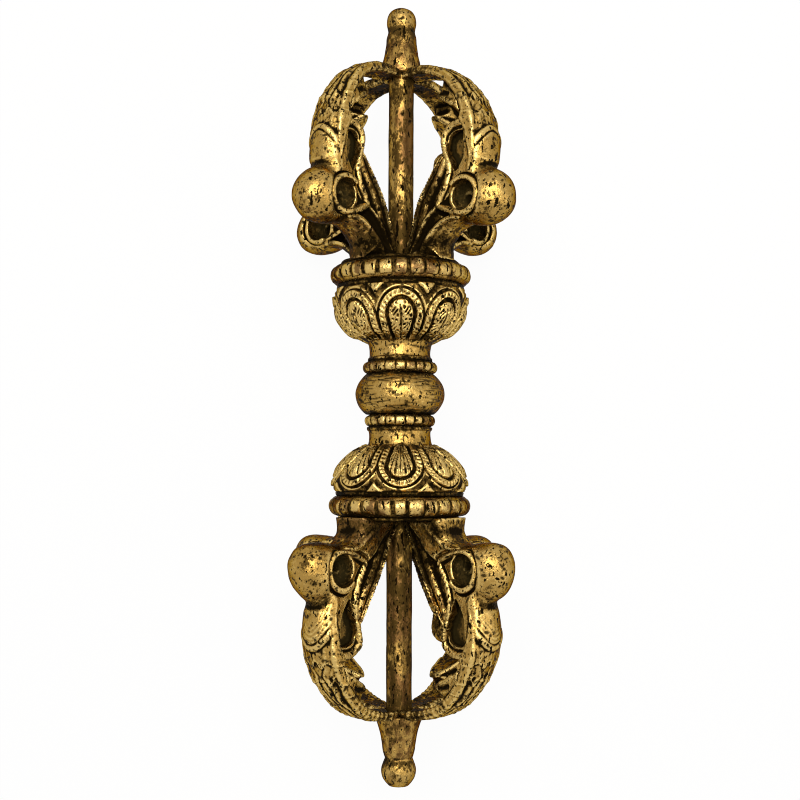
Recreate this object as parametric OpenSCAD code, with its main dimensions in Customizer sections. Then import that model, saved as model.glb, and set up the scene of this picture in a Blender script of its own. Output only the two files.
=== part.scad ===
// Five-pronged dorje in cast brass, lying on its side as it rests on a table.
// The axis runs along X, the middle of the grip bulb is the origin and +Z is up.
// Both ends are stacked on one tie rod: collar, neck, lotus cup, rim ring, prong seat,
// four prongs that rise from open-mouthed sea-beast heads, and a finial that clamps them.

/* [Tie rod] */
// Diameter of the tie rod
rod_d = 4.9; // [4.2:0.1:5.6]
// Diameter of the stud at each end of the tie rod
stud_d = 2.8; // [2:0.1:3.2]
// Length of each stud
stud_l = 7; // [5:0.5:8.5]
// Gap between the tie rod's shoulder and the finial, which lets the finial pull tight
shoulder_gap = 0.2; // [0.1:0.05:0.5]
// Radial clearance of every bore and socket
bore_gap = 0.05; // [0.02:0.01:0.12]

/* [Grip] */
// Diameter of the grip bulb
bulb_d = 17.1; // [15.5:0.1:20]
// Length of the grip bulb along the axis
bulb_l = 7.7; // [6:0.1:10]
// Diameter of the flat ends of the grip bulb
bulb_end_d = 13.2; // [11:0.1:15]
// Diameter of the upper collar
upper_collar_d = 14.4; // [12.5:0.1:16]
// Diameter of the lower collar
lower_collar_d = 13.6; // [12.5:0.1:16]
// Length of each collar along the axis
collar_l = 2.5; // [2:0.1:3.5]
// Number of beads around each collar
collar_beads = 22; // [14:1:28]
// Width of the groove between two beads of a collar
collar_groove = 0.35; // [0.2:0.05:0.6]
// Diameter of the waist of each neck
neck_d = 11.8; // [10:0.1:13]
// Diameter of the fillet where each neck meets its collar
neck_fillet_d = 13; // [12:0.1:14]
// Length of that fillet along the axis
neck_fillet_l = 0.6; // [0.3:0.1:1]
// Length of each neck along the axis, with its fillet
neck_l = 4; // [3:0.1:6]

/* [Lotus cups] */
// Largest diameter of each lotus cup, without its petals
cup_d = 25.4; // [24:0.1:28]
// Diameter of each lotus cup where it meets the neck
cup_foot_d = 14.6; // [13:0.1:16]
// Length of each lotus cup along the axis, up to its rim ring
cup_l = 9.8; // [8:0.1:12]
// Distance from the rim ring down to the largest diameter
cup_belly_l = 2.6; // [1.5:0.1:4]
// Number of petals around each lotus cup
petals = 8; // [6:1:10]
// Width of a petal at its widest
petal_w = 8.6; // [6:0.1:9]
// Width of a petal at the neck
petal_foot_w = 4.6; // [3:0.1:5]
// Width of the raised border of a petal
petal_border = 1.1; // [0.8:0.1:1.6]
// Height of the petals above the cup
petal_relief = 0.45; // [0.2:0.05:0.8]

/* [Rim rings and seats] */
// Diameter of each rim ring
rim_d = 27.2; // [26:0.1:30]
// Length of each rim ring along the axis
rim_l = 3.9; // [3:0.1:5]
// Number of blocks around each rim ring
rim_blocks = 28; // [18:1:36]
// Width of the groove between two blocks
rim_groove = 0.5; // [0.3:0.05:0.8]
// Depth of the grooves in the rim rings and collars
groove_depth = 0.5; // [0.3:0.05:0.8]
// Diameter of the spigot on each lotus cup that centres its rim ring
spigot_d = 20; // [19:0.1:22]
// Diameter of each prong seat
seat_d = 24.6; // [23.6:0.1:26]
// Thickness of each prong seat
seat_t = 0.8; // [0.6:0.1:1.5]

/* [Prong heads] */
// Height of a prong from its seat to the face that the finial clamps
prong_h = 36.8; // [35:0.1:40]
// Distance kept between one prong and the next
prong_gap = 0.2; // [0.1:0.05:0.5]
// Diameter of the tenon under each prong
tenon_d = 3.2; // [2.4:0.1:4]
// Length of the tenon
tenon_l = 3; // [2:0.1:4]
// Distance of the tenon from the axis
tenon_reach = 7.2; // [6.6:0.1:7.6]
// Distance of the foot's outer edge from the axis
foot_reach = 11.8; // [11:0.1:12]
// Width of the foot
foot_w = 9.4; // [8:0.1:10]
// Height of the ankle, where the foot has drawn in
ankle_h = 2.2; // [1.5:0.1:3]
// Distance of the ankle's outer face from the axis
ankle_reach = 10.9; // [10:0.1:11.6]
// Width of the ankle
ankle_w = 7.4; // [6.6:0.1:8.2]
// Clearance between the foot and the tie rod
foot_gap = 1.1; // [0.6:0.1:1.6]
// Height of the snout's middle above the seat
snout_h = 10; // [9:0.1:11]
// Distance of the snout's middle from the axis
snout_reach = 22.1; // [21:0.1:24]
// Diameter of the snout
snout_d = 9.8; // [9:0.1:11]
// Width of the head across its cheeks
head_w = 6.6; // [5.6:0.1:7.4]
// Distance of the inner spine from the axis at the height of the snout
spine_reach = 5.4; // [4.8:0.1:6.5]
// Distance of the eye socket's middle from the axis
eye_reach = 17.6; // [17:0.1:18.4]
// Diameter of the eye socket
eye_d = 4.8; // [4:0.1:5.4]
// Width of the raised ring around the eye socket
eye_ring = 0.9; // [0.6:0.1:1.2]
// Depth of the eye sockets and of the mouth below the cheeks
socket_depth = 2.3; // [1.5:0.1:2.5]

/* [Jaws and blades] */
// Height of the pinch between snout and blade
pinch_h = 16; // [15.5:0.1:17]
// Distance of the pinch's outer face from the axis
pinch_reach = 20.6; // [19.5:0.1:21.5]
// Height of the jaw's tip
jaw_h = 24; // [23:0.1:25]
// Distance of the jaw's tip from the axis
jaw_reach = 14.2; // [13.4:0.1:15]
// Width of the jaw
jaw_w = 5; // [4:0.1:6]
// Number of teeth along each side of a jaw
teeth = 9; // [5:1:12]
// Size of a tooth
tooth = 1.1; // [0.8:0.05:1.4]
// Distance of the blade's outer face from the axis at its belly
blade_reach = 22.2; // [21.5:0.1:23]
// Width of the blade at its belly
blade_w = 7.2; // [6:0.1:8]
// Thickness of the blade at its belly
blade_t = 4.6; // [4:0.1:5.4]
// Width of the blade at its tip
tip_w = 4.2; // [3.4:0.1:4.6]
// Thickness of the blade at its tip
tip_t = 2.3; // [1.8:0.1:3]
// Length of the barb on the blade's inner side
barb_l = 4.6; // [3:0.1:5.5]

/* [Finials] */
// Length of each finial
finial_l = 13.35; // [12:0.05:16]
// Diameter of the upper finial where it clamps the prongs
upper_finial_base_d = 8.6; // [8:0.1:10]
// Diameter of the lower finial where it clamps the prongs
lower_finial_base_d = 9.4; // [8:0.1:10]
// Diameter of the upper finial's stem
upper_stem_d = 6.4; // [5.6:0.1:7.4]
// Diameter of the lower finial's stem
lower_stem_d = 6.9; // [5.6:0.1:7.4]
// Diameter of the upper knob
upper_knob_d = 5.9; // [5.2:0.1:7]
// Diameter of the lower knob
lower_knob_d = 6.6; // [5.2:0.1:7]
// Depth of the groove under a knob
knob_neck = 0.5; // [0.2:0.05:0.8]
// Length of the straight band around a knob
knob_band_l = 1.4; // [1:0.1:2]
// Diameter of the flat on the upper knob's end
upper_flat_d = 0.8; // [0.6:0.1:3]
// Diameter of the flat on the lower knob's end
lower_flat_d = 2.6; // [0.6:0.1:3]

/* [Hidden] */
$fn = 64;
// Sides of the small round shapes in the prongs, which are carved and not turned
carved_sides = 16;
// Points around one section of a prong, and sections along its head and its blade
section_points = 12;
head_sections = 11;
blade_sections = 12;
// The two ends of the dorje
upper = 1;
lower = -1;
// A length that reaches past any piece
beyond = 200;

// Stations along the axis, from the middle of the grip bulb outwards
collar_at = bulb_l / 2;
neck_at = collar_at + collar_l;
cup_at = neck_at + neck_l;
rim_at = cup_at + cup_l;
seat_at = rim_at + rim_l;
prong_at = seat_at + seat_t;
finial_at = prong_at + prong_h;
shoulder_at = finial_at - shoulder_gap;

rod_r = rod_d / 2;
bore_r = rod_r + bore_gap;
foot_in = rod_r + foot_gap;

// The value of one end out of a pair
function of_end(end, upper_value, lower_value) = end == upper ? upper_value : lower_value;

// A point on a cubic curve with four control points
function bezier(p, t) =
    pow(1 - t, 3) * p[0] + 3 * pow(1 - t, 2) * t * p[1] + 3 * (1 - t) * t * t * p[2] + pow(t, 3) * p[3];

// The direction in which that curve runs
function bezier_run(p, t) =
    pow(1 - t, 2) * (p[1] - p[0]) + 2 * (1 - t) * t * (p[2] - p[1]) + t * t * (p[3] - p[2]);

// A smooth curve through a list of rows, read at t from 0 to 1
function through(rows, t) =
    let (
        last = len(rows) - 1,
        i = min(floor(t * last), last - 1),
        u = t * last - i,
        before = rows[max(i - 1, 0)],
        after = rows[min(i + 2, last)],
        lead = (rows[i + 1] - before) / 2,
        trail = (after - rows[i]) / 2
    )
    (2 * pow(u, 3) - 3 * u * u + 1) * rows[i] + (pow(u, 3) - 2 * u * u + u) * lead
        + (3 * u * u - 2 * pow(u, 3)) * rows[i + 1] + (pow(u, 3) - u * u) * trail;

// One coordinate of a rounded-box section, where 1 is its half length
function boxy(x) = sign(x) * pow(abs(x), 0.6);

// Turns a piece built upwards from the bulb's middle so that it lies towards one end
module towards(end) {
    rotate([0, 90 * end, 0]) children();
}

// A solid skinned over rings of points, which have the same count and run the same way round
module skin(rings) {
    sides = len(rings[0]);
    last = len(rings) - 1;
    points = [for (ring = rings) each ring];
    walls = [
        for (i = [0:last - 1], j = [0:sides - 1])
            let (
                a = i * sides + j,
                b = i * sides + (j + 1) % sides
            )
            each [[a, b + sides, b], [a, a + sides, b + sides]]
    ];
    first_cap = [for (j = [1:sides - 2]) [0, j, j + 1]];
    end_at = last * sides;
    last_cap = [for (j = [1:sides - 2]) [end_at, end_at + j + 1, end_at + j]];
    polyhedron(points, concat(walls, first_cap, last_cap));
}

// A turned piece's section with a bore on the tie rod, between two stations
module bored(from, to) {
    difference() {
        children();
        translate([0, from - 1]) square([bore_r, to - from + 2]);
    }
}

// Grooves that part a ring into blocks
module ring_grooves(count, width, ring_r) {
    for (i = [0:count - 1])
        rotate([0, 0, 360 * (i + 0.5) / count])
            translate([ring_r - groove_depth, -width / 2, -beyond / 2])
                cube([ring_r, width, beyond]);
}

module spindle() {
    color("peru") towards(upper) {
        translate([0, 0, -shoulder_at]) cylinder(h = 2 * shoulder_at, r = rod_r);
        translate([0, 0, -shoulder_at - stud_l]) cylinder(h = 2 * (shoulder_at + stud_l), r = stud_d / 2);
    }
}

module grip_bulb() {
    // The bulb's side is one arc through its equator and the edges of its flat ends
    drop = (bulb_d - bulb_end_d) / 2;
    arc_r = (drop * drop + collar_at * collar_at) / (2 * drop);
    color("goldenrod") towards(upper) rotate_extrude()
        bored(-collar_at, collar_at) intersection() {
            translate([0, -collar_at]) square([bulb_d, bulb_l]);
            union() {
                translate([bulb_d / 2 - arc_r, 0]) circle(arc_r);
                translate([0, -collar_at]) square([max(bulb_d / 2 - arc_r, bore_r), bulb_l]);
            }
        }
}

module collar(end) {
    ring_r = of_end(end, upper_collar_d, lower_collar_d) / 2;
    color("darkgoldenrod") towards(end) difference() {
        rotate_extrude() translate([0, collar_at]) bored(0, collar_l) {
            square([ring_r - collar_l / 2, collar_l]);
            translate([ring_r - collar_l / 2, collar_l / 2]) circle(collar_l / 2);
        }
        ring_grooves(collar_beads, collar_groove, ring_r);
    }
}

module neck(end) {
    // The waist is hollowed by an arc between the fillet and the cup's foot
    waist_l = neck_l - neck_fillet_l;
    drop = (cup_foot_d - neck_d) / 2;
    arc_r = (drop * drop + waist_l * waist_l / 4) / (2 * drop);
    color("goldenrod") towards(end) rotate_extrude()
        translate([0, neck_at]) bored(0, neck_l) {
            square([neck_fillet_d / 2, neck_fillet_l]);
            difference() {
                square([cup_foot_d / 2, neck_l]);
                translate([neck_d / 2 + arc_r, neck_fillet_l + waist_l / 2]) circle(arc_r);
                square([cup_foot_d, neck_fillet_l]);
            }
        }
}

// Section of the lotus cup's bowl, swollen by a relief: an arc from the neck over the belly to the rim
module bowl_section(relief) {
    belly_at = cup_l - cup_belly_l;
    run = (cup_d - cup_foot_d) / 2;
    arc_r = (run * run + belly_at * belly_at) / (2 * run);
    from = -asin(belly_at / arc_r);
    to = asin(cup_belly_l / arc_r);
    steps = 7;
    intersection() {
        square([cup_d, cup_l]);
        polygon(concat(
            [[0, cup_l + 1], [0, -1], [cup_foot_d / 2 + relief - 1, -1]],
            [for (i = [0:steps])
                let (turn = from + (to - from) * i / steps)
                [cup_d / 2 - arc_r + (arc_r + relief) * cos(turn), belly_at + (arc_r + relief) * sin(turn)]],
            [[cup_d / 2 - cup_belly_l / 4, cup_l + 1]]
        ));
    }
}

// Outline of a petal, drawn in by an inset: a round end towards the rim and a foot at the neck
module petal_outline(inset) {
    round_r = petal_w / 2;
    round_at = cup_l - petal_border / 2 - round_r;
    steps = 7;
    polygon(concat(
        [for (i = [0:steps]) (round_r - inset) * [cos(180 * i / steps), sin(180 * i / steps)] + [0, round_at]],
        [[-petal_foot_w / 2 + inset, -1], [petal_foot_w / 2 - inset, -1]]
    ));
}

// A petal's raised border
module petal_bars() {
    rotate([90, 0, 90]) linear_extrude(cup_d) difference() {
        petal_outline(0);
        petal_outline(petal_border);
    }
}

module lotus_cup(end) {
    color("darkgoldenrod") towards(end) translate([0, 0, cup_at]) difference() {
        union() {
            rotate_extrude() bowl_section(0);
            translate([0, 0, cup_l]) cylinder(h = rim_l, r = spigot_d / 2);
            for (i = [0:petals - 1])
                intersection() {
                    rotate_extrude() bowl_section(petal_relief);
                    rotate([0, 0, 360 * i / petals]) petal_bars();
                }
        }
        translate([0, 0, -1]) cylinder(h = cup_l + rim_l + 2, r = bore_r);
        translate([0, 0, prong_at - tenon_l - bore_gap - cup_at]) tenons(tenon_d / 2 + bore_gap);
    }
}

module rim_ring(end) {
    ring_r = rim_d / 2;
    round_r = rim_l / 2;
    color("goldenrod") towards(end) difference() {
        rotate_extrude() translate([0, rim_at]) difference() {
            union() {
                square([ring_r - round_r, rim_l]);
                translate([ring_r - round_r, round_r]) circle(round_r);
            }
            translate([0, -1]) square([spigot_d / 2 + bore_gap, rim_l + 2]);
        }
        ring_grooves(rim_blocks, rim_groove, ring_r);
    }
}

// Four round tenons or their sockets, standing on the plane that they are placed on
module tenons(r) {
    for (k = [1:4])
        rotate([0, 0, 90 * k - 45]) translate([tenon_reach, 0, 0]) cylinder(h = tenon_l + seat_t + 1, r = r);
}

module prong_seat(end) {
    color("goldenrod") towards(end) difference() {
        translate([0, 0, seat_at]) cylinder(h = seat_t, r = seat_d / 2);
        translate([0, 0, seat_at - 1]) cylinder(h = seat_t + 2, r = bore_r);
        translate([0, 0, prong_at - tenon_l]) tenons(tenon_d / 2 + bore_gap);
    }
}

// The rows of the head: height, inner radius, outer radius and width
head_rows = [
    [0, foot_in, foot_reach, foot_w],
    [ankle_h, foot_in, ankle_reach, ankle_w],
    [(ankle_h + snout_h) / 2, (foot_in + spine_reach) / 2, (ankle_reach + snout_reach) / 2 - 1.5, head_w],
    [snout_h, spine_reach, snout_reach - snout_d / 4, head_w],
    [pinch_h, (spine_reach + jaw_reach) / 2 - 1, pinch_reach, head_w * 0.9],
    [(pinch_h + jaw_h) / 2, jaw_reach - 3, pinch_reach - 1, jaw_w],
    [jaw_h, jaw_reach, pinch_reach - blade_t / 2, jaw_w * 0.8],
];

// One ring of the head, slim at the spine and full at the cheek
function head_ring(row) = [
    for (j = [0:section_points - 1])
        let (
            turn = 360 * (j + 0.5) / section_points,
            along = boxy(cos(turn)),
            slim = 0.55 + 0.45 * (along + 1) / 2
        )
        [(row[1] + row[2]) / 2 + along * (row[2] - row[1]) / 2, boxy(sin(turn)) * slim * row[3] / 2, row[0]]
];

module head() {
    skin([for (i = [0:head_sections]) head_ring(through(head_rows, i / head_sections))]);
    translate([snout_reach, 0, snout_h]) sphere(d = snout_d, $fn = carved_sides);
}

// The blade's middle line: it leaves the pinch, swells over the belly and bends in to the tie rod
blade_line = [
    [pinch_reach - blade_t / 2, pinch_h - 1.5],
    [blade_reach + 0.2, (pinch_h + prong_h) / 2 - 2.4],
    [blade_reach - 4.9, prong_h - tip_t / 2 - 0.5],
    [rod_r - 0.5, prong_h - tip_t / 2],
];

// One ring across the blade, which narrows from the belly to the tip
function blade_ring(t) =
    let (
        middle = bezier(blade_line, t),
        run = bezier_run(blade_line, t) / norm(bezier_run(blade_line, t)),
        half_t = (blade_t + (tip_t - blade_t) * pow(t, 0.8)) / 2,
        half_w = (blade_w + (tip_w - blade_w) * t) / 2
    )
    [
        for (j = [0:section_points - 1])
            let (
                turn = 360 * (j + 0.5) / section_points,
                out = half_t * boxy(cos(turn))
            )
            [middle[0] + out * run[1], half_w * boxy(sin(turn)), middle[1] - out * run[0]]
    ];

module blade() {
    skin([for (i = [0:blade_sections]) blade_ring(i / blade_sections)]);
    barb_root = bezier(blade_line, 0.58);
    barb_end = bezier(blade_line, 0.66);
    hull() {
        translate([barb_root[0], 0, barb_root[1]]) rotate([90, 0, 0]) cylinder(d = 1.2, h = tip_w, center = true, $fn = 8);
        translate([barb_end[0], 0, barb_end[1]]) rotate([90, 0, 0]) cylinder(d = 1.2, h = tip_w, center = true, $fn = 8);
        translate([barb_root[0] - barb_l, 0, barb_root[1]])
            rotate([90, 0, 0]) cylinder(d = 0.8, h = tip_w / 3, center = true, $fn = 8);
    }
}

// The line of teeth on the cheek, from under the eye to the jaw's tip
teeth_line = [
    [eye_reach - eye_d - 1.2, snout_h - 1.5],
    [jaw_reach - 2.4, snout_h + 3.5],
    [jaw_reach - 0.4, pinch_h + 1],
    [jaw_reach - 1.8, jaw_h - 3],
    [jaw_reach + 1, jaw_h - 0.4],
];

module teeth_row() {
    for (i = [0:teeth - 1]) {
        place = through(teeth_line, i / (teeth - 1));
        cheek = (jaw_w + (head_w - jaw_w) * (1 - i / (teeth - 1))) / 2;
        hull() {
            translate([place[0], cheek - tooth, place[1]]) cube([tooth * 1.2, tooth, tooth], center = true);
            translate([place[0], cheek - tooth / 4, place[1]]) cube([tooth * 0.6, tooth * 0.6, tooth * 0.6], center = true);
        }
    }
}

// What stands out of one cheek, and what is cut into it
module cheek_rings() {
    translate([eye_reach, head_w / 2 - eye_ring, snout_h]) rotate([-90, 0, 0])
        cylinder(h = eye_ring * 1.3, d1 = eye_d + 3 * eye_ring, d2 = eye_d + 1.6 * eye_ring, $fn = carved_sides);
}

module cheek_hollows() {
    translate([eye_reach, head_w / 2 - socket_depth, snout_h]) rotate([-90, 0, 0])
        cylinder(h = beyond, d = eye_d, $fn = carved_sides);
    hull() for (share = [0.3, 0.75])
        translate([(jaw_reach + pinch_reach) / 2 - 1.4, jaw_w / 2 - socket_depth * 0.8, pinch_h + (jaw_h - pinch_h) * share])
            rotate([-90, 0, 0]) cylinder(h = beyond, d = 3, $fn = carved_sides / 2);
}

// Both sides of a prong are the same
module both_cheeks() {
    children();
    mirror([0, 1, 0]) children();
}

// The quarter round the axis that one prong may fill
module prong_quarter() {
    rotate([0, 0, -45]) translate([prong_gap / 2, prong_gap / 2, -tenon_l - 1]) cube([beyond, beyond, beyond]);
}

module prong(end, k) {
    color("goldenrod") towards(end) rotate([0, 0, 90 + end * (90 * k - 45)]) translate([0, 0, prong_at]) {
        intersection() {
            difference() {
                union() {
                    head();
                    blade();
                    both_cheeks() {
                        teeth_row();
                        cheek_rings();
                    }
                }
                both_cheeks() cheek_hollows();
                translate([0, 0, -1]) cylinder(h = beyond, r = bore_r + bore_gap, $fn = carved_sides * 2);
                translate([0, 0, prong_h]) cylinder(h = beyond, r = beyond);
            }
            prong_quarter();
        }
        translate([tenon_reach, 0, -tenon_l]) cylinder(h = tenon_l + 1, d = tenon_d, $fn = carved_sides);
    }
}

// The finial's outline: a flared base, a straight stem, a groove, and a knob with a band and a point
module finial_section(end) {
    base_r = of_end(end, upper_finial_base_d, lower_finial_base_d) / 2;
    stem_r = of_end(end, upper_stem_d, lower_stem_d) / 2;
    knob_r = of_end(end, upper_knob_d, lower_knob_d) / 2;
    flat_r = of_end(end, upper_flat_d, lower_flat_d) / 2;
    groove_r = min(knob_r, stem_r) - knob_neck;
    flare_l = finial_l * 0.3;
    groove_at = finial_l * 0.64;
    band_at = finial_l * 0.74;
    cone_at = band_at + knob_band_l;
    steps = 6;
    polygon(concat(
        [[0, 0], [base_r, 0]],
        [for (i = [1:steps]) [stem_r + (base_r - stem_r) * (1 - sin(90 * i / steps)), flare_l * i / steps]],
        [for (i = [0:steps]) [
            groove_r + (stem_r - groove_r) * (1 + cos(180 * i / steps)) / 2,
            groove_at - (groove_at - flare_l) * 0.4 * (1 - i / steps),
        ]],
        [for (i = [1:steps]) [
            groove_r + (knob_r - groove_r) * sin(90 * i / steps),
            groove_at + (band_at - groove_at) * i / steps,
        ]],
        [for (i = [0:steps]) [
            flat_r + (knob_r - flat_r) * cos(90 * i / steps),
            cone_at + (finial_l - cone_at) * sin(90 * i / steps),
        ]],
        [[0, finial_l]]
    ));
}

module finial(end) {
    color("saddlebrown") towards(end) translate([0, 0, finial_at]) difference() {
        rotate_extrude() finial_section(end);
        translate([0, 0, -1]) cylinder(h = stud_l + 1.5 - shoulder_gap, r = stud_d / 2 + bore_gap);
    }
}

spindle();
grip_bulb();
collar(upper);  // upper_collar
neck(upper);  // upper_neck
lotus_cup(upper);  // upper_lotus_cup
rim_ring(upper);  // upper_rim_ring
prong_seat(upper);  // upper_prong_seat
prong(upper, 1);  // upper_prong_1
prong(upper, 2);  // upper_prong_2
prong(upper, 3);  // upper_prong_3
prong(upper, 4);  // upper_prong_4
finial(upper);  // upper_finial
collar(lower);  // lower_collar
neck(lower);  // lower_neck
lotus_cup(lower);  // lower_lotus_cup
rim_ring(lower);  // lower_rim_ring
prong_seat(lower);  // lower_prong_seat
prong(lower, 1);  // lower_prong_1
prong(lower, 2);  // lower_prong_2
prong(lower, 3);  // lower_prong_3
prong(lower, 4);  // lower_prong_4
finial(lower);  // lower_finial
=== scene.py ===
"""Dresses the five-pronged dorje: carved prongs, turned hub, cut rings and aged brass."""

import math

import bpy
import numpy as np
from mathutils import Matrix, Vector


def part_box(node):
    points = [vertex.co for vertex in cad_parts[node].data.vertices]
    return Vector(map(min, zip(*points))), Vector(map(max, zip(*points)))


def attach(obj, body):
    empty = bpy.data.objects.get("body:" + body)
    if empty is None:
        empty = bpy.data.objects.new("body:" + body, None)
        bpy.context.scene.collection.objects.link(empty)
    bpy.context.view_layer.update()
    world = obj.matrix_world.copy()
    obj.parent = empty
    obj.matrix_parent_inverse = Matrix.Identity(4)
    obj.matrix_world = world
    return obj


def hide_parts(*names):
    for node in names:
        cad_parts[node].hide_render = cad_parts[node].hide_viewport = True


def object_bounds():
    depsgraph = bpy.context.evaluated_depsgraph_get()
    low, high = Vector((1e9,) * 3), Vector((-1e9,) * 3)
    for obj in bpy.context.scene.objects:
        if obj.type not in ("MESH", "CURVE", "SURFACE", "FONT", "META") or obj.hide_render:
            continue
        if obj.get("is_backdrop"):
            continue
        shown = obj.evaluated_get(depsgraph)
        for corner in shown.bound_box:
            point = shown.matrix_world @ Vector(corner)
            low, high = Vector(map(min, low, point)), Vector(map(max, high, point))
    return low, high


bl_info = {
    "name": "Dorje dressing",
    "version": (1, 0, 0),
    "blender": (4, 5, 0),
    "location": "3D View > Sidebar > Dorje",
    "description": "Builds the visible pieces of a five-pronged brass dorje over its solids",
    "category": "Object",
}

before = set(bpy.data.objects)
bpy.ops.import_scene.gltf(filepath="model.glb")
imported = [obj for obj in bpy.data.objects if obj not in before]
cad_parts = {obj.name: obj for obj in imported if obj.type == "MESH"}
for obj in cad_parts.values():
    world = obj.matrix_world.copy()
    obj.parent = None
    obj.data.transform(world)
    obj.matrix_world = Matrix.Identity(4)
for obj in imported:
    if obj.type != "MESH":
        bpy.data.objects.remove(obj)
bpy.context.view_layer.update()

# Lengths below are in millimetres along or around the dorje's axis; meshes are written in metres.
MM = 0.001
ENDS = {"upper": 1, "lower": -1}
PRONGS = (1, 2, 3, 4)


def station(node):
    """Where a CAD node starts and ends along the axis, in millimetres."""
    low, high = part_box(node)
    return low[0] / MM, high[0] / MM


COLLAR_AT, NECK_AT = station("upper_collar")
CUP_AT = station("upper_neck")[1]
RIM_AT, SEAT_AT = station("upper_rim_ring")
PRONG_AT = station("upper_prong_seat")[1]
FINIAL_AT = station("upper_finial")[0]
PRONG_H = FINIAL_AT - PRONG_AT
ROD_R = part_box("spindle")[1][1] / MM
# Room between a piece and what it sits on, and the bore of the pieces on the rod
FIT_GAP = 0.06
BORE_R = ROD_R + FIT_GAP
# Radius of the cups' spigots, the rim rings, the prong seats and the bulb
SPIGOT_R = 10.0
RIM_R = 13.6
SEAT_R = 11.6
BULB_R = 8.55
# Radius at which a turned end closes round the axis
NEAR_AXIS = 0.05
PETALS = 8
# How far the hub's middle is moved along the axis, where that ends, and the length over which it fades
HUB_SHIFT = -0.75
HUB_END = 20
HUB_FADE = 9


# Curves and distances in a plane


def smooth_line(points, count):
    """Points along a smooth curve through the given ones."""
    p = np.asarray(points, float)
    t = np.linspace(0, len(p) - 1, count)
    i = np.minimum(t.astype(int), len(p) - 2)
    u = (t - i)[:, None]
    before = p[np.maximum(i - 1, 0)]
    after = p[np.minimum(i + 2, len(p) - 1)]
    a = p[i]
    b = p[i + 1]
    lead = (b - before) / 2
    trail = (after - a) / 2
    return (
        (2 * u**3 - 3 * u**2 + 1) * a
        + (u**3 - 2 * u**2 + u) * lead
        + (3 * u**2 - 2 * u**3) * b
        + (u**3 - u**2) * trail
    )


def from_line(x, y, line):
    """Distance of each point from a line, its share of the way along, and which side it is on."""
    best = np.full(x.shape, 1e9)
    share = np.zeros(x.shape)
    side = np.ones(x.shape)
    last = len(line) - 1
    for i in range(last):
        ax, ay = line[i]
        dx, dy = line[i + 1] - line[i]
        t = np.clip(((x - ax) * dx + (y - ay) * dy) / (dx * dx + dy * dy + 1e-12), 0, 1)
        ex = x - ax - t * dx
        ey = y - ay - t * dy
        d = np.hypot(ex, ey)
        near = d < best
        best = np.where(near, d, best)
        share = np.where(near, (i + t) / last, share)
        side = np.where(near, np.where(dx * ey - dy * ex > 0, -1.0, 1.0), side)
    return best, share, side


def from_outline(x, y, outline):
    """Distance of each point from a closed outline, below zero inside it."""
    loop = np.vstack([outline, outline[:1]])
    inside = np.zeros(x.shape, bool)
    for (ax, ay), (bx, by) in zip(loop[:-1], loop[1:]):
        if ay == by:
            continue
        crosses = (ay > y) != (by > y)
        inside ^= crosses & (x < ax + (y - ay) * (bx - ax) / (by - ay))
    d = from_line(x, y, loop)[0]
    return np.where(inside, -d, d)


def soft_min(a, b, k):
    """The smaller of two distances, blended over a width k."""
    h = np.maximum(k - np.abs(a - b), 0) / k
    return np.minimum(a, b) - h * h * k / 4


def soft_max(a, b, k):
    """The larger of two distances, blended over a width k."""
    return -soft_min(-a, -b, k)


def step(x):
    """A smooth step from 0 to 1 as x runs from -1 to 1."""
    t = np.clip((x + 1) / 2, 0, 1)
    return t * t * (3 - 2 * t)


def bump(x):
    """A smooth bump of height 1 at 0 that is almost gone at 2."""
    return np.exp(-x * x)


# Meshes


def box_blur(values, radius):
    """The mean of each cell's surroundings, axis by axis."""
    for axis in range(values.ndim):
        pad = [(0, 0)] * values.ndim
        pad[axis] = (radius + 1, radius)
        total = np.cumsum(np.pad(values, pad, mode="edge"), axis=axis)
        count = values.shape[axis]
        ahead = np.take(total, np.arange(2 * radius + 1, 2 * radius + 1 + count), axis=axis)
        behind = np.take(total, np.arange(0, count), axis=axis)
        values = (ahead - behind) / (2 * radius + 1)
    return values


def skin_field(field, origin, size):
    """Skins the zero surface of a field of distances: points and four-cornered faces."""
    inside = field < 0
    shape = tuple(n - 1 for n in field.shape)
    corners = [(i, j, k) for i in (0, 1) for j in (0, 1) for k in (0, 1)]

    def corner(values, c):
        return values[tuple(slice(c[a], c[a] + shape[a]) for a in range(3))]

    count = sum(corner(inside, c).astype(np.int8) for c in corners)
    cells = np.argwhere((count > 0) & (count < 8))
    number = np.full(shape, -1, np.int64)
    number[tuple(cells.T)] = np.arange(len(cells))
    total = np.zeros((len(cells), 3))
    hits = np.zeros(len(cells))
    for c in corners:
        for axis in range(3):
            if c[axis]:
                continue
            d = list(c)
            d[axis] = 1
            f0 = field[tuple((cells + c).T)]
            f1 = field[tuple((cells + d).T)]
            cut = (f0 < 0) != (f1 < 0)
            t = np.where(cut, f0 / np.where(cut, f0 - f1, 1), 0)
            spot = cells + np.array(c, float)
            spot[:, axis] += t
            total += spot * cut[:, None]
            hits += cut
    points = np.asarray(origin) + size * total / hits[:, None]
    faces = []
    for axis in range(3):
        u, v = [a for a in range(3) if a != axis]
        low = [slice(1, n - 1) for n in field.shape]
        low[axis] = slice(0, field.shape[axis] - 1)
        high = list(low)
        high[axis] = slice(1, field.shape[axis])
        first = inside[tuple(low)]
        second = inside[tuple(high)]
        for grows in (True, False):
            edges = np.argwhere(first & ~second if grows else ~first & second)
            edges[:, u] += 1
            edges[:, v] += 1
            ring = []
            for du, dv in ((-1, -1), (0, -1), (0, 0), (-1, 0)):
                e = edges.copy()
                e[:, u] += du
                e[:, v] += dv
                ring.append(number[tuple(e.T)])
            quads = np.stack(ring, axis=1)
            if grows == (axis == 1):
                quads = quads[:, ::-1]
            faces.append(quads)
    return points, np.vstack(faces)


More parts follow.
